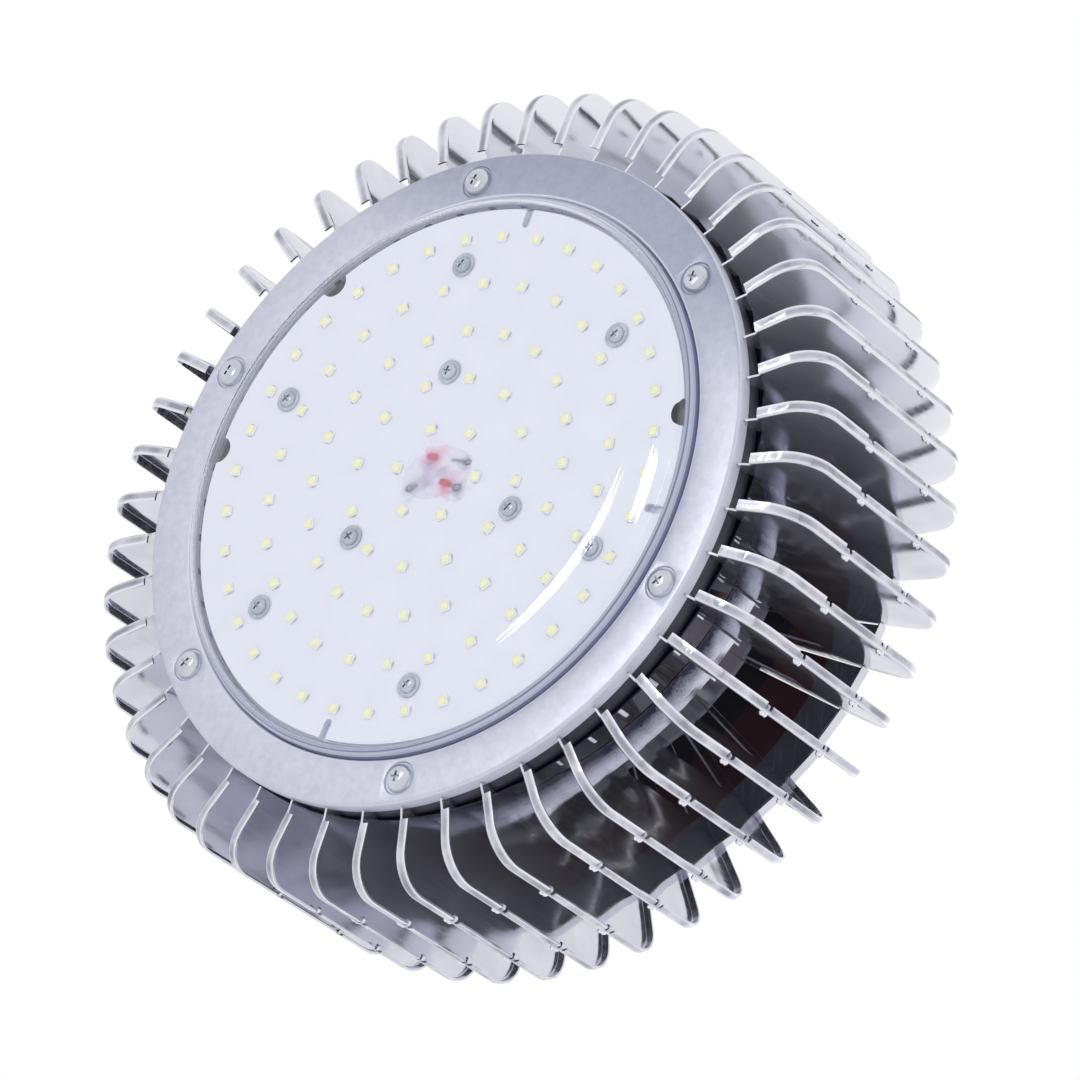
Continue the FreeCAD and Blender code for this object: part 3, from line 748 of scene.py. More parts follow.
@dataclass(frozen=True)
class PaintedLightBand:
    """The strip behind the bezel: painted shade darkens its front edge, a painted highlight brightens the
    rear; speckled.
    """

    dark: Point = (0.038, 0.040, 0.072)
    bright: Point = (0.76, 0.78, 0.90)
    front: float = 27.6
    rear: float = 36.4

    def build(self) -> Material:
        """Make the material.

        Returns:
            The material.
        """
        nodes = Paint("band_painted_light")
        specks = nodes.noise(1400.0, 4.0)
        # painted shade and highlight: darker at the front edge, brighter towards the rear
        height = nodes.ramp(nodes.axes().outputs["Z"], level(self.front), level(self.rear), -0.15, 1.0)
        for pattern, share in ((specks, 0.55), (nodes.noise(160.0, 3.0), 0.8)):
            height = nodes.combine("ADD", height, nodes.ramp(pattern, 0.0, 1.0, -share / 2, share / 2))
        colour = nodes.ramp(height, 0.1, 0.95, self.dark, self.bright)
        rough = nodes.ramp(specks, 0.3, 0.7, 0.22, 0.42)
        return nodes.wear(colour, rough, nodes.bump(specks, 0.3, 0.00004), 1.0)


@dataclass(frozen=True)
class SatinRing:
    """Satin bezel with a fine cast grain and small patches, painted shade along one arc, painted highlights
    at its edges.
    """

    light: Point = (0.66, 0.67, 0.765)
    dark: Point = (0.585, 0.595, 0.69)
    painted_shade_tint: Point = (0.64, 0.655, 0.72)
    wear_and_painted_light: Point = (0.70, 0.71, 0.81)
    outer_highlight: tuple[float, float] = (0.0915, 0.0918)
    inner_highlight: tuple[float, float] = (0.0800, 0.0802)
    painted_shade_side: Point = (5.85, -10.13, 0.0)
    painted_shade_from: float = 0.5
    painted_shade_to: float = 0.93

    def build(self) -> Material:
        """Make the material.

        Returns:
            The material.
        """
        nodes = Paint("satin_ring")
        grain = nodes.noise(2300.0, 2.0)
        plain = nodes.ramp(nodes.noise(420.0, 5.0), 0.34, 0.70, self.light, self.dark)
        # painted shade: darker along one arc
        side = nodes.measure("DOT_PRODUCT", self.painted_shade_side)
        share = nodes.ramp(side, self.painted_shade_from, self.painted_shade_to, soft=True)
        with_painted_shade = nodes.blend(share, plain, self.painted_shade_tint, "MULTIPLY")
        # painted highlight: paler and less metallic at the outer and inner edges
        radius = nodes.from_axis()
        outer = nodes.ramp(radius, *self.outer_highlight)
        edge = nodes.combine("MAXIMUM", outer, nodes.ramp(radius, *self.inner_highlight, 1.0, 0.0))
        return nodes.wear(
            nodes.blend(edge, with_painted_shade, self.wear_and_painted_light), nodes.ramp(grain, 0.3, 0.7, 0.30, 0.40),
            nodes.bump(grain, 0.45, 0.00004), nodes.ramp(edge, 0.0, 1.0, 1.0, 0.3))


@dataclass(frozen=True)
class ClearPlastic:
    """Clear polycarbonate of the lens; its rim's pale and grey colour, thin dark lines and dark spots at the
    gaps behind are painted reflection and shade.
    """

    tint: Point = (0.975, 0.978, 0.995)
    milk_and_painted_light: Point = (0.56, 0.585, 0.715)
    painted_reflection_tint: Point = (0.80, 0.81, 0.91)
    lit_side: Point = (0.65, 0.76, 0.0)
    streak: Point = (0.43, 0.45, 0.58)
    shade_line: Point = (0.19, 0.20, 0.32)
    index: float = 1.45
    shoulder_from: float = 0.0757
    outer_from: float = 0.0779
    inner_from: float = 0.0762
    inner_height: float = -1.9
    wall_from: float = 0.0785
    wall_height: float = -0.6
    painted_rim_share: float = 0.9
    spots: int = 48
    spot: Point = (0.07, 0.07, 0.12)
    spot_heights: tuple[float, float] = (1.5, 3.3)
    spot_radii: tuple[float, float] = (0.0772, 0.0774)

    def rim(self, nodes: Nodes, radius: Socket, height: Socket, side: Socket) -> Socket:
        """Say how much painted rim colour each place takes: the wall inside and outside, and the shoulder
        more on one side.

        Args:
            nodes: The tree to add to.
            radius: Distance from the lamp's axis.
            height: Height of each place.
            side: How far a place lies towards the lit side.

        Returns:
            The share of milk.
        """
        outer = nodes.ramp(radius, self.outer_from, self.outer_from + 0.0001, 0.0, self.painted_rim_share)
        inner = nodes.combine(
            "MULTIPLY", nodes.ramp(radius, self.inner_from, self.inner_from + 0.0002, 0.0, self.painted_rim_share),
            nodes.ramp(height, level(self.inner_height), level(self.inner_height + 0.2)))
        shoulder = nodes.combine(
            "MULTIPLY", nodes.ramp(radius, self.shoulder_from, self.shoulder_from + 0.0005),
            nodes.ramp(side, -0.04, 0.02, 0.8, 0.10))
        return nodes.combine("MAXIMUM", outer, inner, shoulder)

    def lines(self, nodes: Nodes, radius: Socket, height: Socket, side: Socket) -> Socket:
        """Mark the thin painted shade line round the shoulder and the one where the wall meets the bezel.

        Args:
            nodes: The tree to add to.
            radius: Distance from the lamp's axis.
            height: Height of each place.
            side: How far a place lies towards the lit side, which alone shows the lines.

        Returns:
            One on the lines.
        """
        first = nodes.between(radius, self.outer_from, self.outer_from + 0.0003, 0.00005)
        second = nodes.combine(
            "MULTIPLY", nodes.ramp(radius, self.wall_from, self.wall_from + 0.0001),
            nodes.ramp(height, level(self.wall_height), level(self.wall_height + 0.1)))
        either = nodes.combine("MAXIMUM", first, second)
        return nodes.combine("MULTIPLY", either, nodes.ramp(side, -0.03, 0.01))

    def gaps(self, nodes: Nodes, radius: Socket, place: bpy.types.Node) -> Socket:
        """Mark the dark painted shade spots low on the inner wall, one beside each fin, for the gaps behind
        it.

        Args:
            nodes: The tree to add to.
            radius: Distance from the lamp's axis.
            place: Node with the three coordinates.

        Returns:
            One on the spots.
        """
        angle = nodes.combine("ARCTAN2", place.outputs["Y"], place.outputs["X"])
        turn = nodes.combine("FRACT", nodes.combine("MULTIPLY", angle, self.spots / math.tau))
        away = nodes.combine("ABSOLUTE", nodes.combine("SUBTRACT", turn, 0.5))
        front, rear = self.spot_heights
        narrow = nodes.ramp(away, 0.08, 0.12, 1.0, 0.0)
        there = nodes.between(place.outputs["Z"], level(front), level(rear), 0.0002)
        return nodes.combine("MULTIPLY", narrow, there, nodes.ramp(radius, *self.spot_radii, 1.0, 0.0))

    def build(self) -> Material:
        """Make the material.

        Returns:
            The material.
        """
        nodes = Paint("clear_plastic", Transmission_Weight=1.0, IOR=self.index)
        nodes.wear(self.tint, nodes.ramp(nodes.noise(35.0, 4.0), 0.45, 0.8, 0.0, 0.03))
        radius = nodes.from_axis()
        place = nodes.axes()
        height = place.outputs["Z"]
        side = nodes.measure("DOT_PRODUCT", self.lit_side)
        bands = nodes.ramp(nodes.wave("BANDS", 300.0, 0.4), 0.05, 0.35, 0.8, 0.0)
        lines = self.lines(nodes, radius, height, side)
        spots = self.gaps(nodes, radius, place)
        # painted reflection and shade: pale on one side, grey on the other, with darker streaks, lines and
        # spots
        colour = nodes.blend(nodes.ramp(side, -0.04, 0.03), self.painted_reflection_tint, self.milk_and_painted_light)
        for share, tint in ((bands, self.streak), (lines, self.shade_line), (spots, self.spot)):
            colour = nodes.blend(share, colour, tint)
        milk_and_painted_light = nodes.add(
            "ShaderNodeBsdfPrincipled", {"Base Color": colour, "Roughness": 0.2, "Coat Weight": 0.8})
        most = nodes.combine("MAXIMUM", self.rim(nodes, radius, height, side), spots, lines)
        return nodes.clear(nodes.mix(most, nodes.shader.outputs[0], milk_and_painted_light.outputs[0]), self.tint)


@dataclass(frozen=True)
class WhiteMask:
    """White solder mask over an aluminium core, faintly mottled, with a painted pink glow of the red wires
    and painted grey haze round the solder under the sealant.
    """

    light: Point = (0.865, 0.88, 0.935)
    dark: Point = (0.83, 0.845, 0.905)
    painted_haze_patches: tuple[tuple[float, float, float, Point], ...] = (
        (-1.4, -4.2, 5.0, (0.90, 0.30, 0.46)), (3.6, 3.8, 4.6, (0.90, 0.28, 0.40)),
        (-2.4, 1.8, 3.8, (0.50, 0.45, 0.60)), (-2.4, -2.0, 2.8, (0.50, 0.44, 0.57)),
        (8.8, -1.4, 2.6, (0.42, 0.42, 0.50)), (-7.4, 3.1, 3.6, (0.48, 0.48, 0.57)),
        (7.4, 6.0, 3.4, (0.42, 0.43, 0.53)), (2.6, 0.2, 2.8, (0.55, 0.55, 0.66)))

    def build(self) -> Material:
        """Make the material.

        Returns:
            The material.
        """
        nodes = Paint("white_mask")
        mottle = nodes.noise(90.0, 4.0)
        colour = nodes.ramp(mottle, 0.35, 0.75, self.light, self.dark)
        ragged = nodes.ramp(nodes.noise(420.0, 4.0), 0.25, 0.75, 0.45, 1.25)
        # painted glow and haze: pink round the red wire ends, grey round the solder and the hole
        for x, y, size, tint in self.painted_haze_patches:
            away = nodes.measure("DISTANCE", (x * MM, y * MM, 0.0), FLAT)
            share = nodes.ramp(nodes.combine("MULTIPLY", away, ragged), 0.0, size * MM, 1.0, 0.0, soft=True)
            colour = nodes.blend(share, colour, tint)
        grain = nodes.bump(nodes.noise(1300.0, 2.0), 0.15, 0.00002)
        return nodes.wear(colour, nodes.ramp(mottle, 0.3, 0.7, 0.34, 0.5), grain)


@dataclass(frozen=True)
class Painted:
    """A plain matt or glossy coloured surface with fine mottling and grain."""

    name: str
    light: Point
    dark: Point
    rough: float = 0.5
    grain: float = 900.0
    depth: float = 0.00003
    metal: float = 0.0

    def build(self) -> Material:
        """Make the material.

        Returns:
            The material.
        """
        nodes = Paint(self.name)
        patches = nodes.noise(self.grain / 6.0, 3.0)
        return nodes.wear(
            nodes.ramp(patches, 0.3, 0.72, self.light, self.dark),
            nodes.ramp(patches, 0.3, 0.7, self.rough * 0.85, min(1.0, self.rough * 1.2)),
            nodes.bump(nodes.noise(self.grain, 2.0), 0.3, self.depth), self.metal)


@dataclass(frozen=True)
class TurnedMetal:
    """Turned aluminium with fine rings about the lamp's axis."""

    name: str = "turned_metal"
    light: Point = (0.78, 0.79, 0.83)
    dark: Point = (0.66, 0.67, 0.72)
    rings: float = 900.0

    def build(self) -> Material:
        """Make the material.

        Returns:
            The material.
        """
        nodes = Paint(self.name)
        rings = nodes.wave("RINGS", self.rings, 0.6, FLAT)
        return nodes.wear(
            nodes.ramp(nodes.noise(50.0, 4.0), 0.3, 0.7, self.light, self.dark),
            nodes.ramp(rings, 0.0, 1.0, 0.26, 0.36), nodes.bump(rings, 0.12, 0.00002), 1.0)


@dataclass(frozen=True)
class Silicone:
    """Silicone sealant, rough enough to blur the wire ends under it and a little milky."""

    tint: Point = (0.97, 0.965, 0.985)
    milk_and_painted_light: Point = (0.90, 0.905, 0.95)
    index: float = 1.18
    coat: float = 0.5
    coat_rough: float = 0.06

    def build(self) -> Material:
        """Make the material.

        Returns:
            The material.
        """
        nodes = Paint("milky_silicone", Transmission_Weight=1.0, IOR=self.index,
                      Coat_Weight=self.coat, Coat_Roughness=self.coat_rough)
        nodes.wear(self.tint, nodes.ramp(nodes.noise(500.0, 2.0), 0.3, 0.7, 0.36, 0.60),
                   nodes.bump(nodes.noise(420.0, 3.0), 0.8, 0.0006))
        coat = {"Coat Weight": self.coat, "Coat Roughness": self.coat_rough}
        cloudy = nodes.add("ShaderNodeBsdfPrincipled", {"Base Color": self.milk_and_painted_light, "Roughness": 0.25, **coat})
        share = nodes.ramp(nodes.noise(260.0, 3.0), 0.35, 0.7, 0.0, 0.22)
        return nodes.clear(nodes.mix(share, nodes.shader.outputs[0], cloudy.outputs[0]), self.tint)


class Finishes:
    """All finishes of the lamp, each made once."""

    def __init__(self) -> None:
        """Make every material."""
        self.sheet = BrightSheet().build()
        self.lip = FoldedLip().build()
        self.flange_shade = PaintedShadeFlange().build()
        self.band = PaintedLightBand().build()
        self.bezel = SatinRing().build()
        self.lens = ClearPlastic().build()
        self.mask = WhiteMask().build()
        self.plate = TurnedMetal().build()
        self.base = BasePlate().build()
        # painted shade: near black, worn by the fins' feet and the walls of the board's notches
        self.foot = TurnedMetal("painted_shade_foot", (0.034, 0.033, 0.052), (0.022, 0.021, 0.034)).build()
        self.post = TurnedMetal("turned_post", (0.70, 0.70, 0.72), (0.58, 0.58, 0.62), 1500.0).build()
        self.silicone = Silicone().build()
        self.core = Painted("board_core", (0.86, 0.87, 0.93), (0.74, 0.75, 0.82), 0.45, metal=0.3).build()
        self.led_frame = Painted("led_frame", (0.97, 0.97, 0.985), (0.94, 0.94, 0.96), 0.35).build()
        self.phosphor = Painted("phosphor", (1.0, 0.985, 0.62), (1.0, 0.985, 0.70), 0.42, 1800.0).build()
        self.tin = Painted("tinned_pad", (0.62, 0.63, 0.70), (0.5, 0.51, 0.58), 0.35, metal=1.0).build()
        plated = {"grain": 1200.0, "depth": 0.00001, "metal": 1.0}
        self.zinc = Painted("zinc_plate", (0.70, 0.72, 0.77), (0.56, 0.58, 0.64), 0.16, **plated).build()
        # painted shade: the same zinc as the bezel screws, painted darker for the screws under the lens
        self.board_zinc_painted_darker = Painted(
            "zinc_board_painted_darker", (0.60, 0.63, 0.70), (0.42, 0.45, 0.52), 0.09, **plated).build()
        self.gasket = Painted("gasket_rubber", (0.72, 0.72, 0.80), (0.60, 0.60, 0.68)).build()
        # painted highlight: a pale matt white for the inner hem of the rear flanges
        self.edge = Painted("painted_highlight_edge", (0.93, 0.93, 0.97), (0.78, 0.78, 0.84), 0.3).build()
        self.solder = Painted(
            "dull_solder", (0.38, 0.38, 0.46), (0.24, 0.24, 0.31), 0.3, 1500.0, metal=0.8).build()
        self.wire = Painted("red_insulation", (0.72, 0.03, 0.09), (0.60, 0.02, 0.07), 0.35).build()
        self.nylon = Painted(
            "black_nylon", (0.055, 0.055, 0.06), (0.035, 0.035, 0.04), 0.5, 700.0, 0.00006).build()


def hand_over(piece: Piece, finishes: Sequence[Material], slot: str, *nodes: str,
              angle: float = 30.0) -> None:
    """Dress a finished piece and hide the CAD nodes that it replaces.

    Args:
        piece: The finished object.
        finishes: Its materials, of which every face wears the first one.
        slot: The record's material slot; not used.
        nodes: CAD nodes that it replaces.
        angle: Degrees up to which it is shaded smoothly.
    """
    select(piece)
    bpy.ops.object.shade_smooth_by_angle(angle=math.radians(angle))
    piece.data.materials.clear()
    for finish in finishes:
        piece.data.materials.append(finish)
    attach(piece, "root")
    if nodes:
        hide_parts(*nodes)
    log.info("%s: %d faces", piece.name, len(piece.data.polygons))


class Coat(IntEnum):
    """Places of a fin's finishes in its list of materials."""

    SHEET = 0
    PAINTED_SHADE = 1
    BAND = 2
    FOOT = 3
    EDGE = 4
    LIP = 5


@dataclass
class FinRing:
    """The ring of folded fins, modelled once and copied in neighbouring pairs."""

    count: int = 48
    per_group: int = 2
    root: float = 92.3
    outer: float = 114.0
    inner: float = 56.0
    front: float = 2.0
    rear: float = 76.0
    foot: float = 9.0
    bend: float = 10.0
    corner: float = 9.0
    sheet: float = 0.6
    lips_wide: Point = (3.0, 2.6, 2.5)
    lip_start: float = 3.5
    notch: float = 3.0
    notch_lip: float = 1.3
    notches: Place = (27.5, 54.3)
    tongue: tuple[Point, ...] = ((-0.25, -0.75, 0), (-0.7, -0.2, 0), (-0.4, 0.5, 0))
    crimp_inset: float = 0.7
    crimp_sizes: tuple[Point, ...] = ((-0.72, 0.80, 0.25), (0.70, 0.95, 0.05))
    fold: float = 0.6
    window: tuple[float, float, float, float] = (66.0, 86.5, 38.0, 66.0)
    window_slant: float = 6.0
    strip: Point = (82.0, 28.0, 36.0)
    strip_flare: Point = (1.1, 0, 0.9)
    flange: float = 94.0
    hem: float = 2.7
    inner_hem: float = 1.1
    gap: float = 0.12
    lugs: tuple[tuple[float, float, float, float], ...] = (
        (-0.5, -1.0, 19.6, 25.0), (0.4, 0.95, 21.0, 24.3), (0.4, 0.95, 37.2, 41.0), (-0.5, -0.95, 12.6, 15.0))
    most_lean: float = 2.2

    @property
    def half(self) -> float:
        """Half the thickness of the sheet."""
        return self.sheet / 2

    def reach(self, radius: float) -> float:
        """How far a folded strip reaches towards the next fin at a radius."""
        return radius * math.tan(math.tau / self.count) - self.gap

    def blade(self, work: Work) -> None:
        """Draw the blade's outline, round its corners and open its window.

        Args:
            work: The open mesh.
        """
        foot, top = self.foot + self.half, self.front + self.half
        far, low = self.outer - self.half, self.rear - self.half
        path = [(self.inner, foot), (self.root, foot), (self.root, top), (self.root + self.lip_start, top),
                (far, top)]
        for middle in self.notches:
            path += [(far, middle + self.notch * share) for share in (-0.5, -0.17, 0.17, 0.5)]
        path += [(far, low), (self.flange, low), (self.inner, low)]
        work.draw([at(radius, height, -self.half) for radius, height in path])
        for height, radius in ((top, self.bend), (low, self.corner)):
            work.round_points(lambda p: near(p.x, far) and near(p.z, height), radius - self.half, 9)
        work.fill()
        inner, outer, upper, lower = self.window
        work.cut(at(outer, 0), (1, 0, 0))
        work.cut(at(0, upper), (0, 0, 1))
        work.cut(at(0, lower), (0, 0, 1))
        work.cut(at(inner, lower), (lower - upper, 0, self.window_slant))
        middle = (upper + lower) / 2
        work.pick(Grain.FACE, lambda p: inner + self.window_slant * 0.4 < p.x < outer
                  and abs(p.z - middle) < (lower - upper) * 0.45, middle=True)
        bpy.ops.mesh.delete(type="FACE")

    def flanges(self, work: Work) -> None:
        """Fold the foot and the rear flange with its hems, each widening outwards to meet the next fin.

        Args:
            work: The open mesh.
        """
        narrow = self.reach(self.inner)
        rear = self.rear - self.half
        for height, far in ((self.foot + self.half, self.root), (rear, self.flange)):
            work.pick_rim(lambda p: near(p.z, height) and near(p.y, -self.half)
                          and self.inner - 1 < p.x < far + 0.05)
            work.fold((0, self.half - narrow, 0))
            radii = {round(v.co.x / MM, 2) for v in bmesh.from_edit_mesh(work.piece.data).verts if v.select}
            for radius in sorted(radii):
                work.pick(Grain.POINT, lambda p: near(p.x, radius) and near(p.z, height)
                          and p.y < -narrow + 0.2)
                work.move((0, -(self.reach(radius) - narrow) * MM, 0))
        for place, depth in ((self.flange, self.hem), (self.inner, self.inner_hem)):
            work.pick_rim(lambda p: near(p.x, place) and near(p.z, rear))
            work.fold((0, 0, -depth))

    def on_lip(self, p: Vector) -> bool:
        """Say whether a point lies on the edge that carries the lip.

        Args:
            p: The point in millimetres.

        Returns:
            True on that edge.
        """
        front = p.x > self.root + self.lip_start - 0.05 and p.z < self.front + 1
        rear = p.x > self.flange - 0.05 and p.z > self.rear - 1
        return front or p.x > self.outer - self.bend - 1 or rear

    def lips(self, work: Work) -> None:
        """Fold the lip along the outer edges; each notch leaves it narrow, with a small curled tongue.

        Args:
            work: The open mesh.
        """
        stops = [middle + side * self.notch / 2 for middle in self.notches for side in (-1, 1)]
        stops = [0.0, *stops, self.rear + 1]
        wide = zip(stops[::2], stops[1::2], self.lips_wide)
        narrow = zip(stops[1::2], stops[2::2], [self.notch_lip] * len(self.notches))
        for upper, lower, width in (*wide, *narrow):
            work.pick_rim(lambda p: near(p.y, -self.half) and self.on_lip(p)
                          and upper - 0.01 < p.z < lower + 0.01)
            work.fold((0, self.half - width, 0))
        work.pick_rim(lambda p: near(p.x, self.outer - self.half) and near(p.y, -self.notch_lip) and any(
            abs(p.z - middle) < self.notch * 0.2 for middle in self.notches))
        for shift in self.tongue:
            work.fold(shift)

    def round_folds(self, work: Work) -> None:
        """Round every fold between the blade and its lips and flanges.

        Args:
            work: The open mesh.
        """
        work.pick(Grain.EDGE, lambda p: near(p.y, -self.half))
        for edge in bmesh.from_edit_mesh(work.piece.data).edges:
            if edge.select and (len(edge.link_faces) != 2 or edge.calc_face_angle(0.0) < 1.0):
                edge.select_set(False)
        bmesh.update_edit_mesh(work.piece.data)
        work.bevel(self.fold, 3)

    def band(self, work: Work) -> None:
        """Fold the mid strip that closes the gap behind the bezel, with its flared rear edge.

        Args:
            work: The open mesh.
        """
        place, upper, lower = self.strip
        wide = self.reach(place)
        outside = place + self.half
        work.patch(at(outside, (upper + lower) / 2, -wide / 2), wide - self.sheet, lower - upper)
        work.pick_rim(lambda p: near(p.x, outside) and near(p.z, lower) and p.y < 0)
        work.fold(self.strip_flare)

    def lug_tabs(self, work: Work) -> None:
        """Set the small lugs that hook one fin to the next on the blade's two sides.

        Args:
            work: The open mesh.
        """
        place = self.strip[0]
        for start, end, upper, lower in self.lugs:
            work.patch(at(place, (upper + lower) / 2, (start + end) / 2), abs(end - start), lower - upper)
            work.pick(Grain.POINT, lambda p: near(p.x, place) and near(p.y, end) and near(p.z, upper))
            work.move((0, 0, 0.5 * MM))

    def crimps(self) -> list[Piece]:
        """Model the small lumps that the notching tool squeezes up on the fold.

        Returns:
            Two lumps for each notch.
        """
        ball = {"segments": 12, "ring_count": 8, "radius": MM}
        lumps = []
        for middle in self.notches:
            for shift, wide, out in self.crimp_sizes:
                spot = at(self.outer - self.crimp_inset, middle + shift, out)
                lumps.append(Work.block((0.65, wide, 0.75), spot, "uv_sphere", **ball).close())
        return lumps

    def model(self) -> Piece:
        """Model one fin on the +X side.

        Returns:
            The model fin, with each point's distance across the lip kept for its finish.
        """
        work = Work.start("fin_model")
        for step in (self.blade, self.flanges, self.lips, self.round_folds, self.band, self.lug_tabs):
            step(work)
        work.tidy()
        fin = work.close()
        apply_modifier(fin, "SOLIDIFY", thickness=self.sheet * MM, offset=0.0, use_even_offset=True)
        soften(fin, 0.07, 1, 50)
        fin = join([fin] + self.crimps(), "fin_model")
        across = fin.data.attributes.new("across", "FLOAT", "POINT")
        for vertex, value in zip(fin.data.vertices, across.data):
            value.value = -vertex.co.y / MM
        return fin

    def lean(self, fin: Piece, degrees: float) -> None:
        """Bend a fin's outer part a little to one side, as handling does.

        Args:
            fin: The fin on the +X side.
            degrees: How far its outer third turns.
        """
        work = Work(fin)
        for start in (self.root + 1.5, self.root + 7):
            work.pick(Grain.POINT, lambda p: p.x > start)
            turn = -math.radians(degrees * 0.5)
            bpy.ops.transform.rotate(value=turn, orient_axis="Z", center_override=at(start, 40))
        work.close()

    def coat(self, face: bpy.types.MeshPolygon) -> Coat:
        """Choose the finish of one face of a fin in its place.

        Args:
            face: The face.

        Returns:
            Its finish.
        """
        middle, normal = face.center, face.normal
        height = middle.z / MM + BOSS_TOP
        out = math.hypot(middle.x, middle.y) / MM
        outward = (normal.x * middle.x + normal.y * middle.y) / (out * MM)
        place, upper, lower = self.strip
        at_front = near(height, self.front, 3.0) and out > self.root
        if out > self.root + self.lip_start and outward ** 2 + normal.z ** 2 > 0.75:
            return Coat.LIP
        # the foot wears painted shade
        if height < self.foot + self.sheet + 0.1 and out < self.root + 0.5 and not at_front:
            return Coat.FOOT
        # the inner hem wears a painted highlight
        if out < self.inner + 0.75 and height > self.rear - 1.6:
            return Coat.EDGE
        # the front side of the rear flange wears painted shade
        if normal.z < -0.9 and height > self.rear - 1.0 and out < self.flange:
            return Coat.PAINTED_SHADE
        # the band wears painted shade and highlight
        if outward > 0.9 and upper - 0.1 < height < lower and place < out < place + 2.0:
            return Coat.BAND
        return Coat.SHEET

    def build(self, finishes: Finishes) -> None:
        """Copy the model fin all round and hand the pairs over.

        Args:
            finishes: The lamp's finishes.
        """
        chance = random.Random(4)
        model = self.model()
        coats = (finishes.sheet, finishes.flange_shade, finishes.band, finishes.foot, finishes.edge, finishes.lip)
        for group in range(self.count // self.per_group):
            pair = []
            for number in range(group * self.per_group, (group + 1) * self.per_group):
                straight = copy(model, "fin", 0.0)
                self.lean(straight, chance.uniform(-self.most_lean, self.most_lean))
                pair.append(copy(straight, "fin_turned", 360.0 / self.count * number))
                remove(straight)
            piece = join(pair, "folded_fins_%02d" % (group + 1))
            hand_over(piece, coats, "fin_aluminium", "fin_pair_%02d" % (group + 1), angle=32)
            for face in piece.data.polygons:
                face.material_index = self.coat(face)
        remove(model)


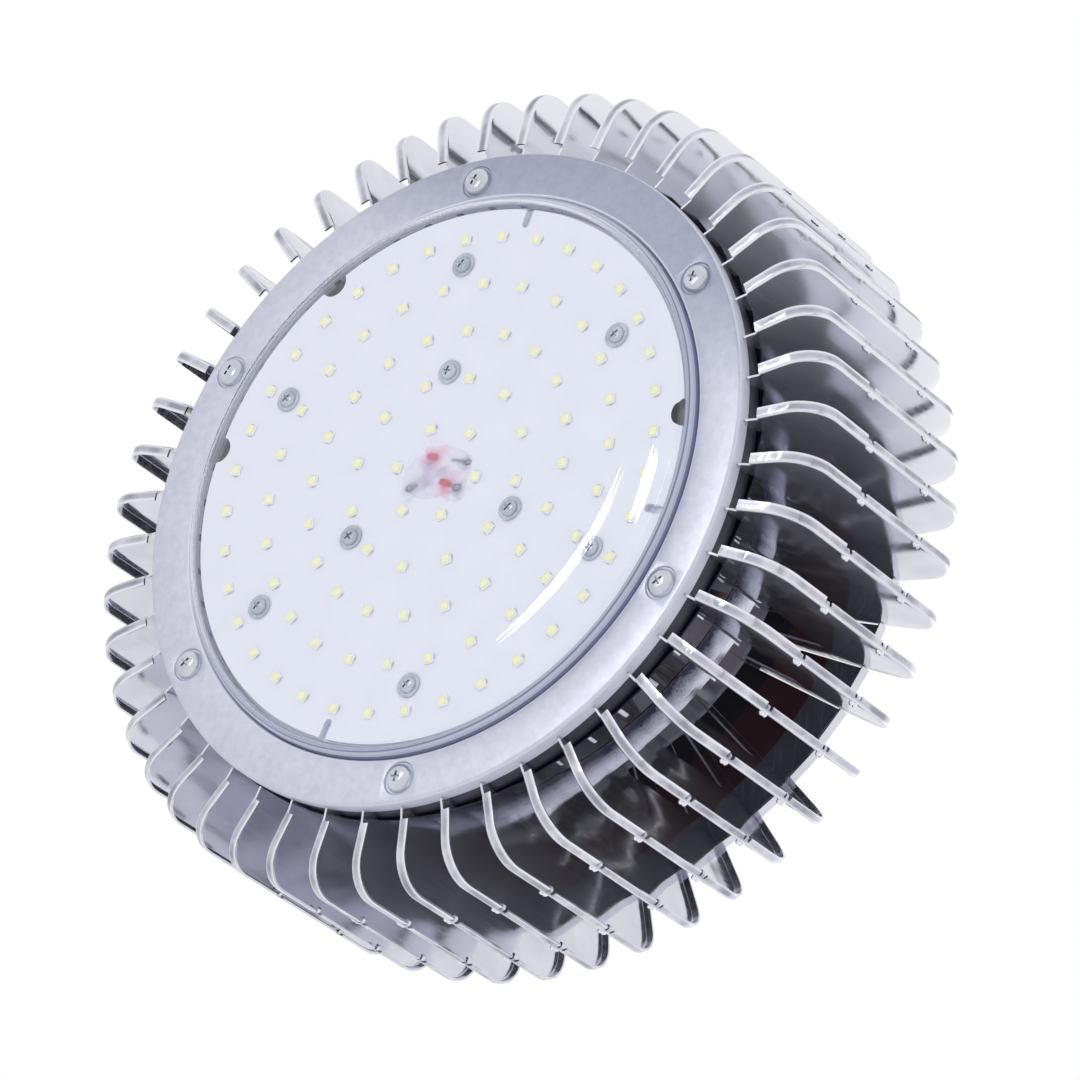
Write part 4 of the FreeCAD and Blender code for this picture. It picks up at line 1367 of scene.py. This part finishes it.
@dataclass
class Front:
    """Bezel, its screws, the clear lens and the gasket under it."""

    bezel_outer: float = 92.0
    bezel_inner: float = 79.5
    bezel_thick: float = 4.0
    groove_outer: float = 83.1
    lip: float = 2.0
    screw_circle: float = 85.2
    screw_count: int = 6
    screw_bore: float = 2.25
    seat: float = 4.6
    seat_depth: float = 0.5
    lens_outer: float = 79.0
    lens_flange: float = 3.6
    shoulder: float = 4.0
    rise: float = 10.0
    wall: float = 2.0
    gasket: float = 1.2

    def bezel(self) -> Piece:
        """Model the bezel: a turned ring with rounded edges and dished screw seats.

        Returns:
            The bezel.
        """
        work = Work.start("bezel")
        path = [(self.bezel_inner, 0.0), (self.bezel_outer, 0.0), (self.bezel_outer, self.bezel_thick),
                (self.groove_outer, self.bezel_thick), (self.groove_outer, self.lip),
                (self.bezel_inner, self.lip)]
        work.draw([at(*point) for point in path])
        work.round_points(lambda p: near(p.z, 0) and near(p.x, self.bezel_outer), 0.9, 5)
        work.round_points(lambda p: near(p.z, 0) and near(p.x, self.bezel_inner), 0.5, 4)
        ring = work.spin(192)
        for _, angle in ring_places(self.screw_circle, self.screw_count, -90.0):
            cone = {"radius1": (self.seat + 0.55) * MM, "radius2": (self.seat - 0.25) * MM, "depth": 1.4 * MM}
            spot = polar(self.screw_circle, angle, self.seat_depth - 0.7)
            drill(ring, Work.start("seat", "cone", vertices=48, location=spot, **cone).close())
            drill(ring, Work.peg(self.screw_bore, 12, polar(self.screw_circle, angle, 2.0), 32).close())
        soften(ring, 0.12, 2, 35)
        return ring

    def lens(self) -> Piece:
        """Model the lens: crown, rounded shoulder, wall and clamped flange.

        Returns:
            The lens.
        """
        rim = self.lens_outer - self.shoulder
        sagitta = self.rise - self.shoulder
        radius = (rim * rim + sagitta * sagitta) / (2 * sagitta)
        slope = math.asin(rim / radius)
        crown_end = math.degrees(slope) - 90.0
        sides = []
        for drop in (0.0, self.wall):
            crown = arc((0.0, radius - self.rise + drop), radius, -90.0, crown_end, 22)
            turn = (self.shoulder - drop) / (1 - math.sin(slope))
            centre = (rim - turn * math.sin(slope), -self.shoulder + drop + turn * math.cos(slope))
            sides.append(crown + arc(centre, turn, crown_end, 0.0, 12)[1:])
        foot = self.lip + self.wall
        far = self.lens_outer + self.lens_flange
        rest = [(self.lens_outer, self.lip - 0.4), (self.lens_outer + 0.3, self.lip), (far, self.lip),
                (far, foot), (self.lens_outer - self.wall, foot)]
        work = Work.start("lens")
        work.draw(sides[0] + [at(*point) for point in rest] + sides[1][::-1], closed=False)
        return work.spin(224)

    def seal(self) -> Piece:
        """Model the gasket: a turned ring with softly rounded edges.

        Returns:
            The gasket.
        """
        top = self.lip + self.wall
        low = top + self.gasket
        inner = self.lens_outer - self.wall
        outer = self.lens_outer + self.lens_flange
        work = Work.start("lens_seal")
        work.draw([at(inner, top), at(outer, top), at(outer, low), at(inner, low)])
        work.round_points(lambda p: True, 0.25, 3)
        return work.spin(160)

    def screw(self, head: float, high: float, shank: float, length: float, washer: float) -> Piece:
        """Model one pan-head screw with its cross recess, standing on the axis with its seat at height 0.

        Args:
            head: Radius of the head in millimetres.
            high: Height of the head above its seat.
            shank: Radius of the shank.
            length: Length below the seat.
            washer: Height of the flat washer rim, or 0 for none.

        Returns:
            The model screw.
        """
        crown = head * (0.70 if washer else 0.97)
        path = [at(0, length), at(shank - 0.3, length), at(shank, length - 0.4), at(shank, 0), at(head, 0)]
        if washer:
            path += [at(head, -washer), at(crown + 0.15, -washer)]
        lift = high - (washer or 0.35)
        for turn in [math.radians(90.0 * step / 8) for step in range(9)]:
            path.append(at(crown * math.cos(turn) ** 0.62, -(high - lift) - lift * math.sin(turn)))
        work = Work.start("screw")
        work.draw(path, closed=False)
        screw = work.spin(40)
        for turn in (0.0, 90.0):
            arm = Work.block((head * 1.05, head * 0.2, 1.8), at(0, -high))
            arm.pick(Grain.POINT, lambda p: p.z > -high + 0.5)
            arm.stretch((0.45, 0.6, 1.0), at(0, 0))
            cutter = arm.close()
            drill(screw, copy(cutter, "recess", turn))
            remove(cutter)
        return screw

    def build(self, finishes: Finishes) -> None:
        """Build and hand over every front piece.

        Args:
            finishes: The lamp's finishes.
        """
        hand_over(self.bezel(), [finishes.bezel], "bezel_aluminium", "bezel_ring", angle=35)
        hand_over(self.lens(), [finishes.lens], "lens_clear", "lens_dome", angle=40)
        hand_over(self.seal(), [finishes.gasket], "gasket_rubber", "lens_gasket", angle=40)
        model = self.screw(3.95, 2.2, 2.0, 7.0, 0.0)
        chance = random.Random(7)
        places = [((x, y, self.seat_depth * MM), chance.uniform(0, 90))
                  for (x, y, _), _ in ring_places(self.screw_circle, self.screw_count, -90.0)]
        screws = spread(model, places, "bezel_screw_set")
        hand_over(screws, [finishes.zinc], "screw_zinc", "bezel_screws", angle=35)


@dataclass
class Board:
    """The round board with its light sources, screws and the sealed wire joint."""

    radius: float = 75.0
    thick: float = 1.6
    wire_hole: float = 4.0
    rings: tuple[tuple[float, int, float], ...] = (
        (67.0, 36, 0.0), (53.55, 26, 1.2), (40.1, 20, -12.0), (26.65, 12, -15.0), (13.2, 6, 15.0))
    led: float = 3.0
    led_high: float = 0.7
    led_corner: float = 0.32
    cup: tuple[Place, ...] = ((0.26, 0.0), (0.12, -0.10))
    glow_margin: float = 0.6
    glow_thick: float = 0.12
    glow_corner: float = 0.42
    pad: Point = (1.1, 0.5, 0.16)
    pad_place: Point = (0.25, -0.12, 1.5)
    screws: tuple[Place, ...] = (
        (59.9, -90.0), (59.9, -30.0), (59.9, 30.0), (59.9, 90.0), (59.9, 150.0), (59.9, -150.0),
        (28.8, -90.0), (28.8, 30.0), (28.8, 150.0))
    screw_bore: float = 1.75
    notch_circle: float = 75.5
    notches: tuple[Place, ...] = ((-3.3, 3.9), (-124.0, 3.9), (-165.4, 3.7))
    slots: Point = (-75.0, 17.4, 110.0)
    slot_half: float = 1.15
    slot_depth: float = 5.6
    joint_length: float = 10.8
    joint_width: float = 7.3
    red_thick: float = 0.8
    red_ends: tuple[tuple[Place, Place], ...] = (((-2.9, -5.0), (-0.2, -4.1)), ((2.2, 3.2), (5.0, 4.2)))
    bare_thick: float = 0.36
    bare_ends: tuple[tuple[Place, Place], ...] = (
        ((4.6, -2.6), (9.4, -1.4)), ((-5.4, 2.6), (-8.4, 3.4)), ((5.6, 4.5), (7.4, 5.4)))
    lumps: tuple[tuple[Place, Point], ...] = (
        ((9.6, -1.3), (1.1, 0.9, 0.45)), ((-8.0, 3.2), (1.5, 1.0, 0.45)), ((7.0, 5.4), (1.5, 1.1, 0.5)))

    def plate(self) -> Piece:
        """Model the board with its screw holes, round notches and open slots.

        Returns:
            The board.
        """
        middle = self.thick / 2
        board = Work.peg(self.radius, self.thick, at(0, middle), 256).close("board")
        slot_end = self.notch_circle - self.slot_depth + self.slot_half
        holes = [(0.0, 0.0, self.wire_hole)] + [(*screw, self.screw_bore) for screw in self.screws]
        holes += [(self.notch_circle, angle, radius) for angle, radius in self.notches]
        holes += [(slot_end, angle, self.slot_half) for angle in self.slots]
        for radius, angle, size in holes:
            drill(board, Work.peg(size, 6, polar(radius, angle, middle)).close())
        length = self.slot_depth - self.slot_half + 4
        for angle in self.slots:
            slot = Work.block((length, self.slot_half * 2, 6), at(slot_end + length / 2, middle)).close()
            drill(board, copy(slot, "slot", angle))
            remove(slot)
        soften(board, 0.08, 1, 50)
        return board

    def package(self) -> Piece:
        """Model one light source's white frame with its shallow cup.

        Returns:
            The model frame.
        """
        work = Work.block((self.led, self.led, self.led_high), at(0, -self.led_high / 2))
        work.pick(Grain.EDGE, lambda p: abs(p.x) > 1.4 and abs(p.y) > 1.4)
        work.bevel(self.led_corner, 3)
        work.pick(Grain.FACE, lambda p: p.z < -self.led_high + 0.05)
        for thickness, depth in self.cup:
            bpy.ops.mesh.inset(thickness=thickness * MM, depth=depth * MM)
        return work.close()

    def glow(self) -> Piece:
        """Model the phosphor that fills one cup.

        Returns:
            The model phosphor.
        """
        side = self.led - self.glow_margin
        work = Work.block((side, side, self.glow_thick), at(0, -self.led_high + 0.02))
        work.pick(Grain.EDGE, lambda p: abs(p.x) > 1.1 and abs(p.y) > 1.1)
        work.bevel(self.glow_corner, 3)
        return work.close()

    def pads(self) -> Piece:
        """Model the two tinned solder pads that stand out beside one package.

        Returns:
            The model pads.
        """
        along, height, out = self.pad_place
        halves = []
        for side in (-1, 1):
            pad = Work.block(self.pad, at(along * side, height, out * side))
            pad.pick(Grain.EDGE, lambda p: p.z < -0.19 and abs(p.y) > 1.6)
            pad.bevel(0.06, 2)
            halves.append(pad.close())
        return join(halves, "pads")

    def joint(self) -> Piece:
        """Model the mound of silicone: turned with soft edges, stretched to an oval, with soft lumps.

        Returns:
            The mound.
        """
        shares = [1 - step / 14 for step in range(15)]
        work = Work.start("joint")
        work.draw([at(0, -0.02)] + [at(self.joint_length * share, -0.03 - 2.0 * (1 - share ** 4))
                                    for share in shares], closed=False)
        work = Work(work.spin(64))
        work.everything()
        work.stretch((1, self.joint_width / self.joint_length, 1), at(0, 0))
        mound = work.close("wire_joint_mound")
        waves = bpy.data.textures.new("mound_waves", "CLOUDS")
        waves.noise_scale = 0.004
        top = mound.vertex_groups.new(name="top")
        top.add([v.index for v in mound.data.vertices if v.co.z < level(-0.3)], 1.0, "REPLACE")
        apply_modifier(mound, "DISPLACE", texture=waves, strength=0.0007, mid_level=0.7, vertex_group="top")
        return mound

    def rod(self, start: Place, end: Place, thick: float) -> Piece:
        """Model one round-ended length of wire lying on the board.

        Args:
            start: Place of its first end in millimetres.
            end: Place of its other end.
            thick: Radius in millimetres.

        Returns:
            The piece.
        """
        run = Vector(end) - Vector(start)
        middle = (Vector(start) + Vector(end)) / 2
        lying = {"location": at(middle.x, -thick, middle.y),
                 "rotation": (0, math.pi / 2, math.atan2(run.y, run.x))}
        work = Work.start("rod", "cylinder", vertices=20, radius=thick * MM, depth=run.length * MM, **lying)
        bpy.ops.mesh.select_all(action="DESELECT")
        bpy.ops.mesh.select_face_by_sides(number=20)
        bpy.ops.mesh.region_to_loop()
        work.bevel(thick * 0.8, 4)
        work.everything()
        work.stretch((1, 1, 0.7), at(0, -0.03))
        return work.close()

    def solder(self, place: Place, size: Point) -> Piece:
        """Model one flattened lump of solder.

        Args:
            place: Its middle in millimetres.
            size: Half its length, width and height in millimetres.

        Returns:
            The piece.
        """
        ball = {"segments": 24, "ring_count": 14, "radius": MM}
        work = Work.block(size, at(place[0], 0, place[1]), "uv_sphere", **ball)
        work.cut(at(0, -0.02), (0, 0, 1), clear_outer=True, use_fill=True)
        return work.close()

    def wires(self, finishes: Finishes) -> None:
        """Build the two red wire ends, their tinned cores and the solder under the silicone.

        Args:
            finishes: The lamp's finishes.
        """
        red = [self.rod(*ends, self.red_thick) for ends in self.red_ends]
        bare = [self.rod(*ends, self.bare_thick) for ends in self.bare_ends]
        bare += [self.solder(*lump) for lump in self.lumps]
        hole = Work.peg(self.wire_hole - 0.02, 1.4, at(0, 0.75))
        hole.pick(Grain.EDGE, lambda p: p.z < 0.1)
        hole.bevel(0.2, 2)
        for piece, finish, slot in (
                (hole.close("sealed_hole"), finishes.mask, "joint_silicone"),
                (join(red, "red_wire_ends"), finishes.wire, "wire_red"),
                (join(bare, "tinned_wire_ends"), finishes.solder, "joint_silicone")):
            hand_over(piece, [finish], slot, "wire_joint", angle=40)

    def build(self, finishes: Finishes, front: Front) -> None:
        """Build and hand over the board and all that stands on it.

        Args:
            finishes: The lamp's finishes.
            front: Models the screws.
        """
        plate = self.plate()
        hand_over(plate, [finishes.mask, finishes.core, finishes.foot], "board_white", "led_board", angle=30)
        # painted shade: the notches' walls wear the near-black foot finish, the other side walls the core
        middles = [(Vector(polar(self.notch_circle, angle)).xy, radius) for angle, radius in self.notches]
        for face in plate.data.polygons:
            if abs(face.normal.z) < 0.5:
                in_notch = any((face.center.xy - middle).length < (radius + 0.2) * MM
                               for middle, radius in middles)
                face.material_index = 2 if in_notch else 1
        spots = [spot for ring in self.rings for spot in ring_places(*ring)]
        for model, name, finish in ((self.package(), "led_frames", finishes.led_frame),
                                    (self.glow(), "led_phosphors", finishes.phosphor),
                                    (self.pads(), "led_pads", finishes.tin)):
            hand_over(spread(model, spots, name), [finish], "led_phosphor", "led_packages")
        model = front.screw(3.4, 1.5, 1.5, 5.6, 0.45)
        chance = random.Random(11)
        places = [(polar(*screw), chance.uniform(0, 90)) for screw in self.screws]
        screws = spread(model, places, "board_screw_set")
        hand_over(screws, [finishes.board_zinc_painted_darker], "screw_zinc", "board_screws", angle=35)
        self.wires(finishes)
        hand_over(self.joint(), [finishes.silicone], "joint_silicone", "wire_joint", angle=80)


@dataclass
class Rear:
    """Base plate, standoffs, rear disc with its boss, cap screws, cable gland and lead wires."""

    gland_at: float = 30.0
    gland_front: float = 72.0
    disc_back: float = 79.0
    bore: float = 4.0
    spigot: float = 8.0
    nut: tuple[Place, ...] = ((9.6, 0.0), (9.6, 5.0), (8.9, 5.2), (9.35, 5.6), (9.35, 9.6))
    dome: Place = (4.8, 9.6)
    dome_wide: float = 4.55
    dome_high: float = 3.9
    nut_top: float = 14.0
    hexagon: float = 11.0
    hexagon_high: float = 5.0
    ribs: int = 18
    rib_circle: float = 9.05
    rib_middle: float = 7.8

    def gland(self) -> Piece:
        """Model the gland: threaded spigot, hexagon, ribbed domed nut and bore.

        Returns:
            The gland.
        """
        back = self.disc_back
        top = back + self.nut_top
        middle, shoulder = self.dome
        path = [(self.bore, self.gland_front), (self.spigot, self.gland_front), (self.spigot, back)]
        path += [(radius, back + height) for radius, height in self.nut]
        for turn in [math.radians(degrees) for degrees in range(15, 91, 15)]:
            path.append((middle + self.dome_wide * math.cos(turn),
                         back + shoulder + self.dome_high * math.sin(turn)))
        path.append((self.bore, top))
        work = Work.start("gland_body")
        work.draw([at(*point) for point in path])
        work.round_points(lambda p: near(p.z, top) and near(p.x, self.bore), 0.35, 2)
        body = work.spin(72)
        ribs = [Work.peg(0.55, 4.2, polar(self.rib_circle, angle, back + self.rib_middle), 10).close()
                for _, angle in ring_places(self.rib_circle, self.ribs, 0.0)]
        waist = at(0, back + self.hexagon_high / 2)
        collar = Work.peg(self.hexagon, self.hexagon_high, waist, 6)
        collar.pick(Grain.EDGE, lambda p: True)
        collar.bevel(0.35, 2)
        nut = collar.close()
        drill(nut, Work.peg(5.0, 9.0, waist, 48).close())
        return spread(join([body, nut] + ribs, "gland_model"), [((self.gland_at * MM, 0, 0), 0.0)], "gland")

    def build(self, finishes: Finishes) -> None:
        """Hand the gland over and dress the CAD nodes that stay.

        Args:
            finishes: The lamp's finishes.
        """
        hand_over(self.gland(), [finishes.nylon], "gland_nylon", "cable_gland", angle=35)
        dressing = {
            "base_plate": finishes.base, "rear_disc": finishes.plate, "standoffs": finishes.post,
            "disc_screws": finishes.zinc, "lead_wires": finishes.wire}
        for node, finish in dressing.items():
            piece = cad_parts[node]
            for slot in piece.material_slots:
                slot.material = finish
            if not piece.material_slots:
                piece.data.materials.append(finish)
            log.info("%s dressed in %s", node, finish.name)


@dataclass(frozen=True)
class Studio:
    """White floor, white surroundings and the photograph's point of view."""

    eye: Point = (0.9835, 0.7401, -1.3486)
    right: Point = (0.82376, -0.11211, 0.55574)
    up: Point = (0.14785, -0.90385, -0.4015)
    back: Point = (0.54732, 0.41291, -0.72798)
    lens: float = 228.36
    sensor: float = 36.0
    floor: float = -2.25
    floor_glow: float = 0.8
    white: Point = (1.0, 1.0, 1.0)
    ambient: float = 0.95
    ambient_tint: Point = (0.98, 0.985, 1.0)
    room: float = 0.93
    room_tint: Point = (0.985, 0.985, 1.0)
    strips: tuple[tuple[str, tuple[Point, ...], float, float], ...] = (
        ("long_strip", (
            (-0.2449, -0.0725, -0.6114), (-0.2138, -0.0946, -0.6185), (-0.1862, -0.1207, -0.6222),
            (-0.1631, -0.1505, -0.6223), (-0.1453, -0.1839, -0.6185), (-0.1337, -0.2205, -0.6107)),
         0.0056, 60.0),
        ("short_strip", (
            (-0.1188, -0.167, -0.6287), (-0.1126, -0.1901, -0.6241), (-0.1076, -0.2136, -0.6184),
            (-0.1046, -0.2377, -0.6114)), 0.0054, 45.0))
    shades: tuple[tuple[Point, float, float, float], ...] = (
        ((0.547, 0.413, -0.728), 0.45, 0.92, 0.52), ((-0.824, 0.112, -0.556), 0.2, 0.9, 0.85),
        ((0.0, 0.0, 1.0), 0.8, 0.97, 1.35))

    def camera(self) -> None:
        """Set the camera where the photograph was taken from."""
        data = bpy.data.cameras.new("photo_view")
        data.lens = self.lens
        data.sensor_width = self.sensor
        camera = bpy.data.objects.new("photo_view", data)
        bpy.context.scene.collection.objects.link(camera)
        rows = [(self.right[i], self.up[i], self.back[i], self.eye[i]) for i in range(3)]
        camera.matrix_world = Matrix(rows + [(0, 0, 0, 1)])
        bpy.context.scene.camera = camera

    def world(self) -> None:
        """Surround the lamp with white, darker towards the room in front of it as metal reflects it."""
        world = bpy.data.worlds.new("white_surroundings")
        bpy.context.scene.world = world
        nodes = Nodes(world)
        path = nodes.add("ShaderNodeLightPath").outputs
        shares = []
        for side, start, end, there in self.shades:
            along = nodes.measure("DOT_PRODUCT", side, source="Generated")
            shares.append(nodes.ramp(along, start, end, 1.0, there, soft=True))
        strength = nodes.combine("MULTIPLY", *shares, self.room)
        skies = ((self.white, 1.0), (self.room_tint, strength), (self.ambient_tint, self.ambient))
        white, room, soft = [
            nodes.add("ShaderNodeBackground", {"Color": colour, "Strength": light}).outputs[0]
            for colour, light in skies]
        surface = nodes.mix(path["Is Diffuse Ray"], nodes.mix(path["Is Glossy Ray"], white, room), soft)
        nodes.add("ShaderNodeOutputWorld", {"Surface": surface})

    def floor_sheet(self) -> None:
        """Lay a wide pale floor below the lamp."""
        floor = Work.start("floor", "plane", size=12.0, location=(0, 0, self.floor)).close()
        nodes = Paint("floor_white")
        nodes.wear((0.95, 0.95, 0.96), 0.9)
        seen = nodes.add("ShaderNodeLightPath").outputs["Is Camera Ray"]
        share = nodes.combine("MULTIPLY", seen, self.floor_glow)
        glow = nodes.add("ShaderNodeEmission").outputs[0]
        floor.data.materials.append(nodes.show(nodes.mix(share, nodes.shader.outputs[0], glow)))

    def bow(self, points: Sequence[Point], steps: int = 4) -> list[Vector]:
        """Run a smooth curve through a few points.

        Args:
            points: Places in metres.
            steps: Pieces between two of them.

        Returns:
            The points of the curve.
        """
        known = [Vector(point) for point in points]
        known = [2 * known[0] - known[1]] + known + [2 * known[-1] - known[-2]]
        curve = []
        for before, start, end, after in zip(known, known[1:], known[2:], known[3:]):
            for step in range(steps):
                t = step / steps
                curve.append(start + 0.5 * t * (end - before + t * (
                    2 * before - 5 * start + 4 * end - after + t * (3 * (start - end) + after - before))))
        return curve + [known[-2]]

    def strip(self, name: str, points: Sequence[Point], width: float, strength: float) -> None:
        """Hang one slightly bent strip light that narrows to a point at both ends, hidden from the camera.

        Args:
            name: Name of the strip.
            points: Its middle line in metres.
            width: Metres.
            strength: Brightness of its face.
        """
        curve = self.bow(points)
        across = (curve[-1] - curve[0]).cross(curve[len(curve) // 2]).normalized() * width / 2
        shares = [math.sin(math.pi * step / (len(curve) - 1)) ** 0.7 for step in range(len(curve))]
        one = [tuple(place + across * share) for place, share in zip(curve, shares)]
        other = [tuple(place - across * share) for place, share in zip(curve, shares)][1:-1]
        work = Work.start(name, "plane", size=0.01)
        work.draw(one + other[::-1])
        work.fill()
        light = work.close()
        nodes = Paint(name)
        glow = nodes.add("ShaderNodeEmission", {"Strength": strength}).outputs[0]
        light.data.materials.append(nodes.show(glow))
        light.visible_camera = False

    def build(self) -> None:
        """Set up the view, the surroundings, the floor and the lamps."""
        bpy.context.scene.view_settings.view_transform = "Standard"
        self.camera()
        self.world()
        self.floor_sheet()
        for strip in self.strips:
            self.strip(*strip)


def main() -> None:
    """Build every piece in order."""
    logging.basicConfig(level=logging.INFO, format="%(name)s %(message)s")
    finishes = Finishes()
    Studio().build()
    front = Front()
    front.build(finishes)
    Board().build(finishes, front)
    Rear().build(finishes)
    FinRing().build(finishes)


if __name__ == "__main__":
    main()
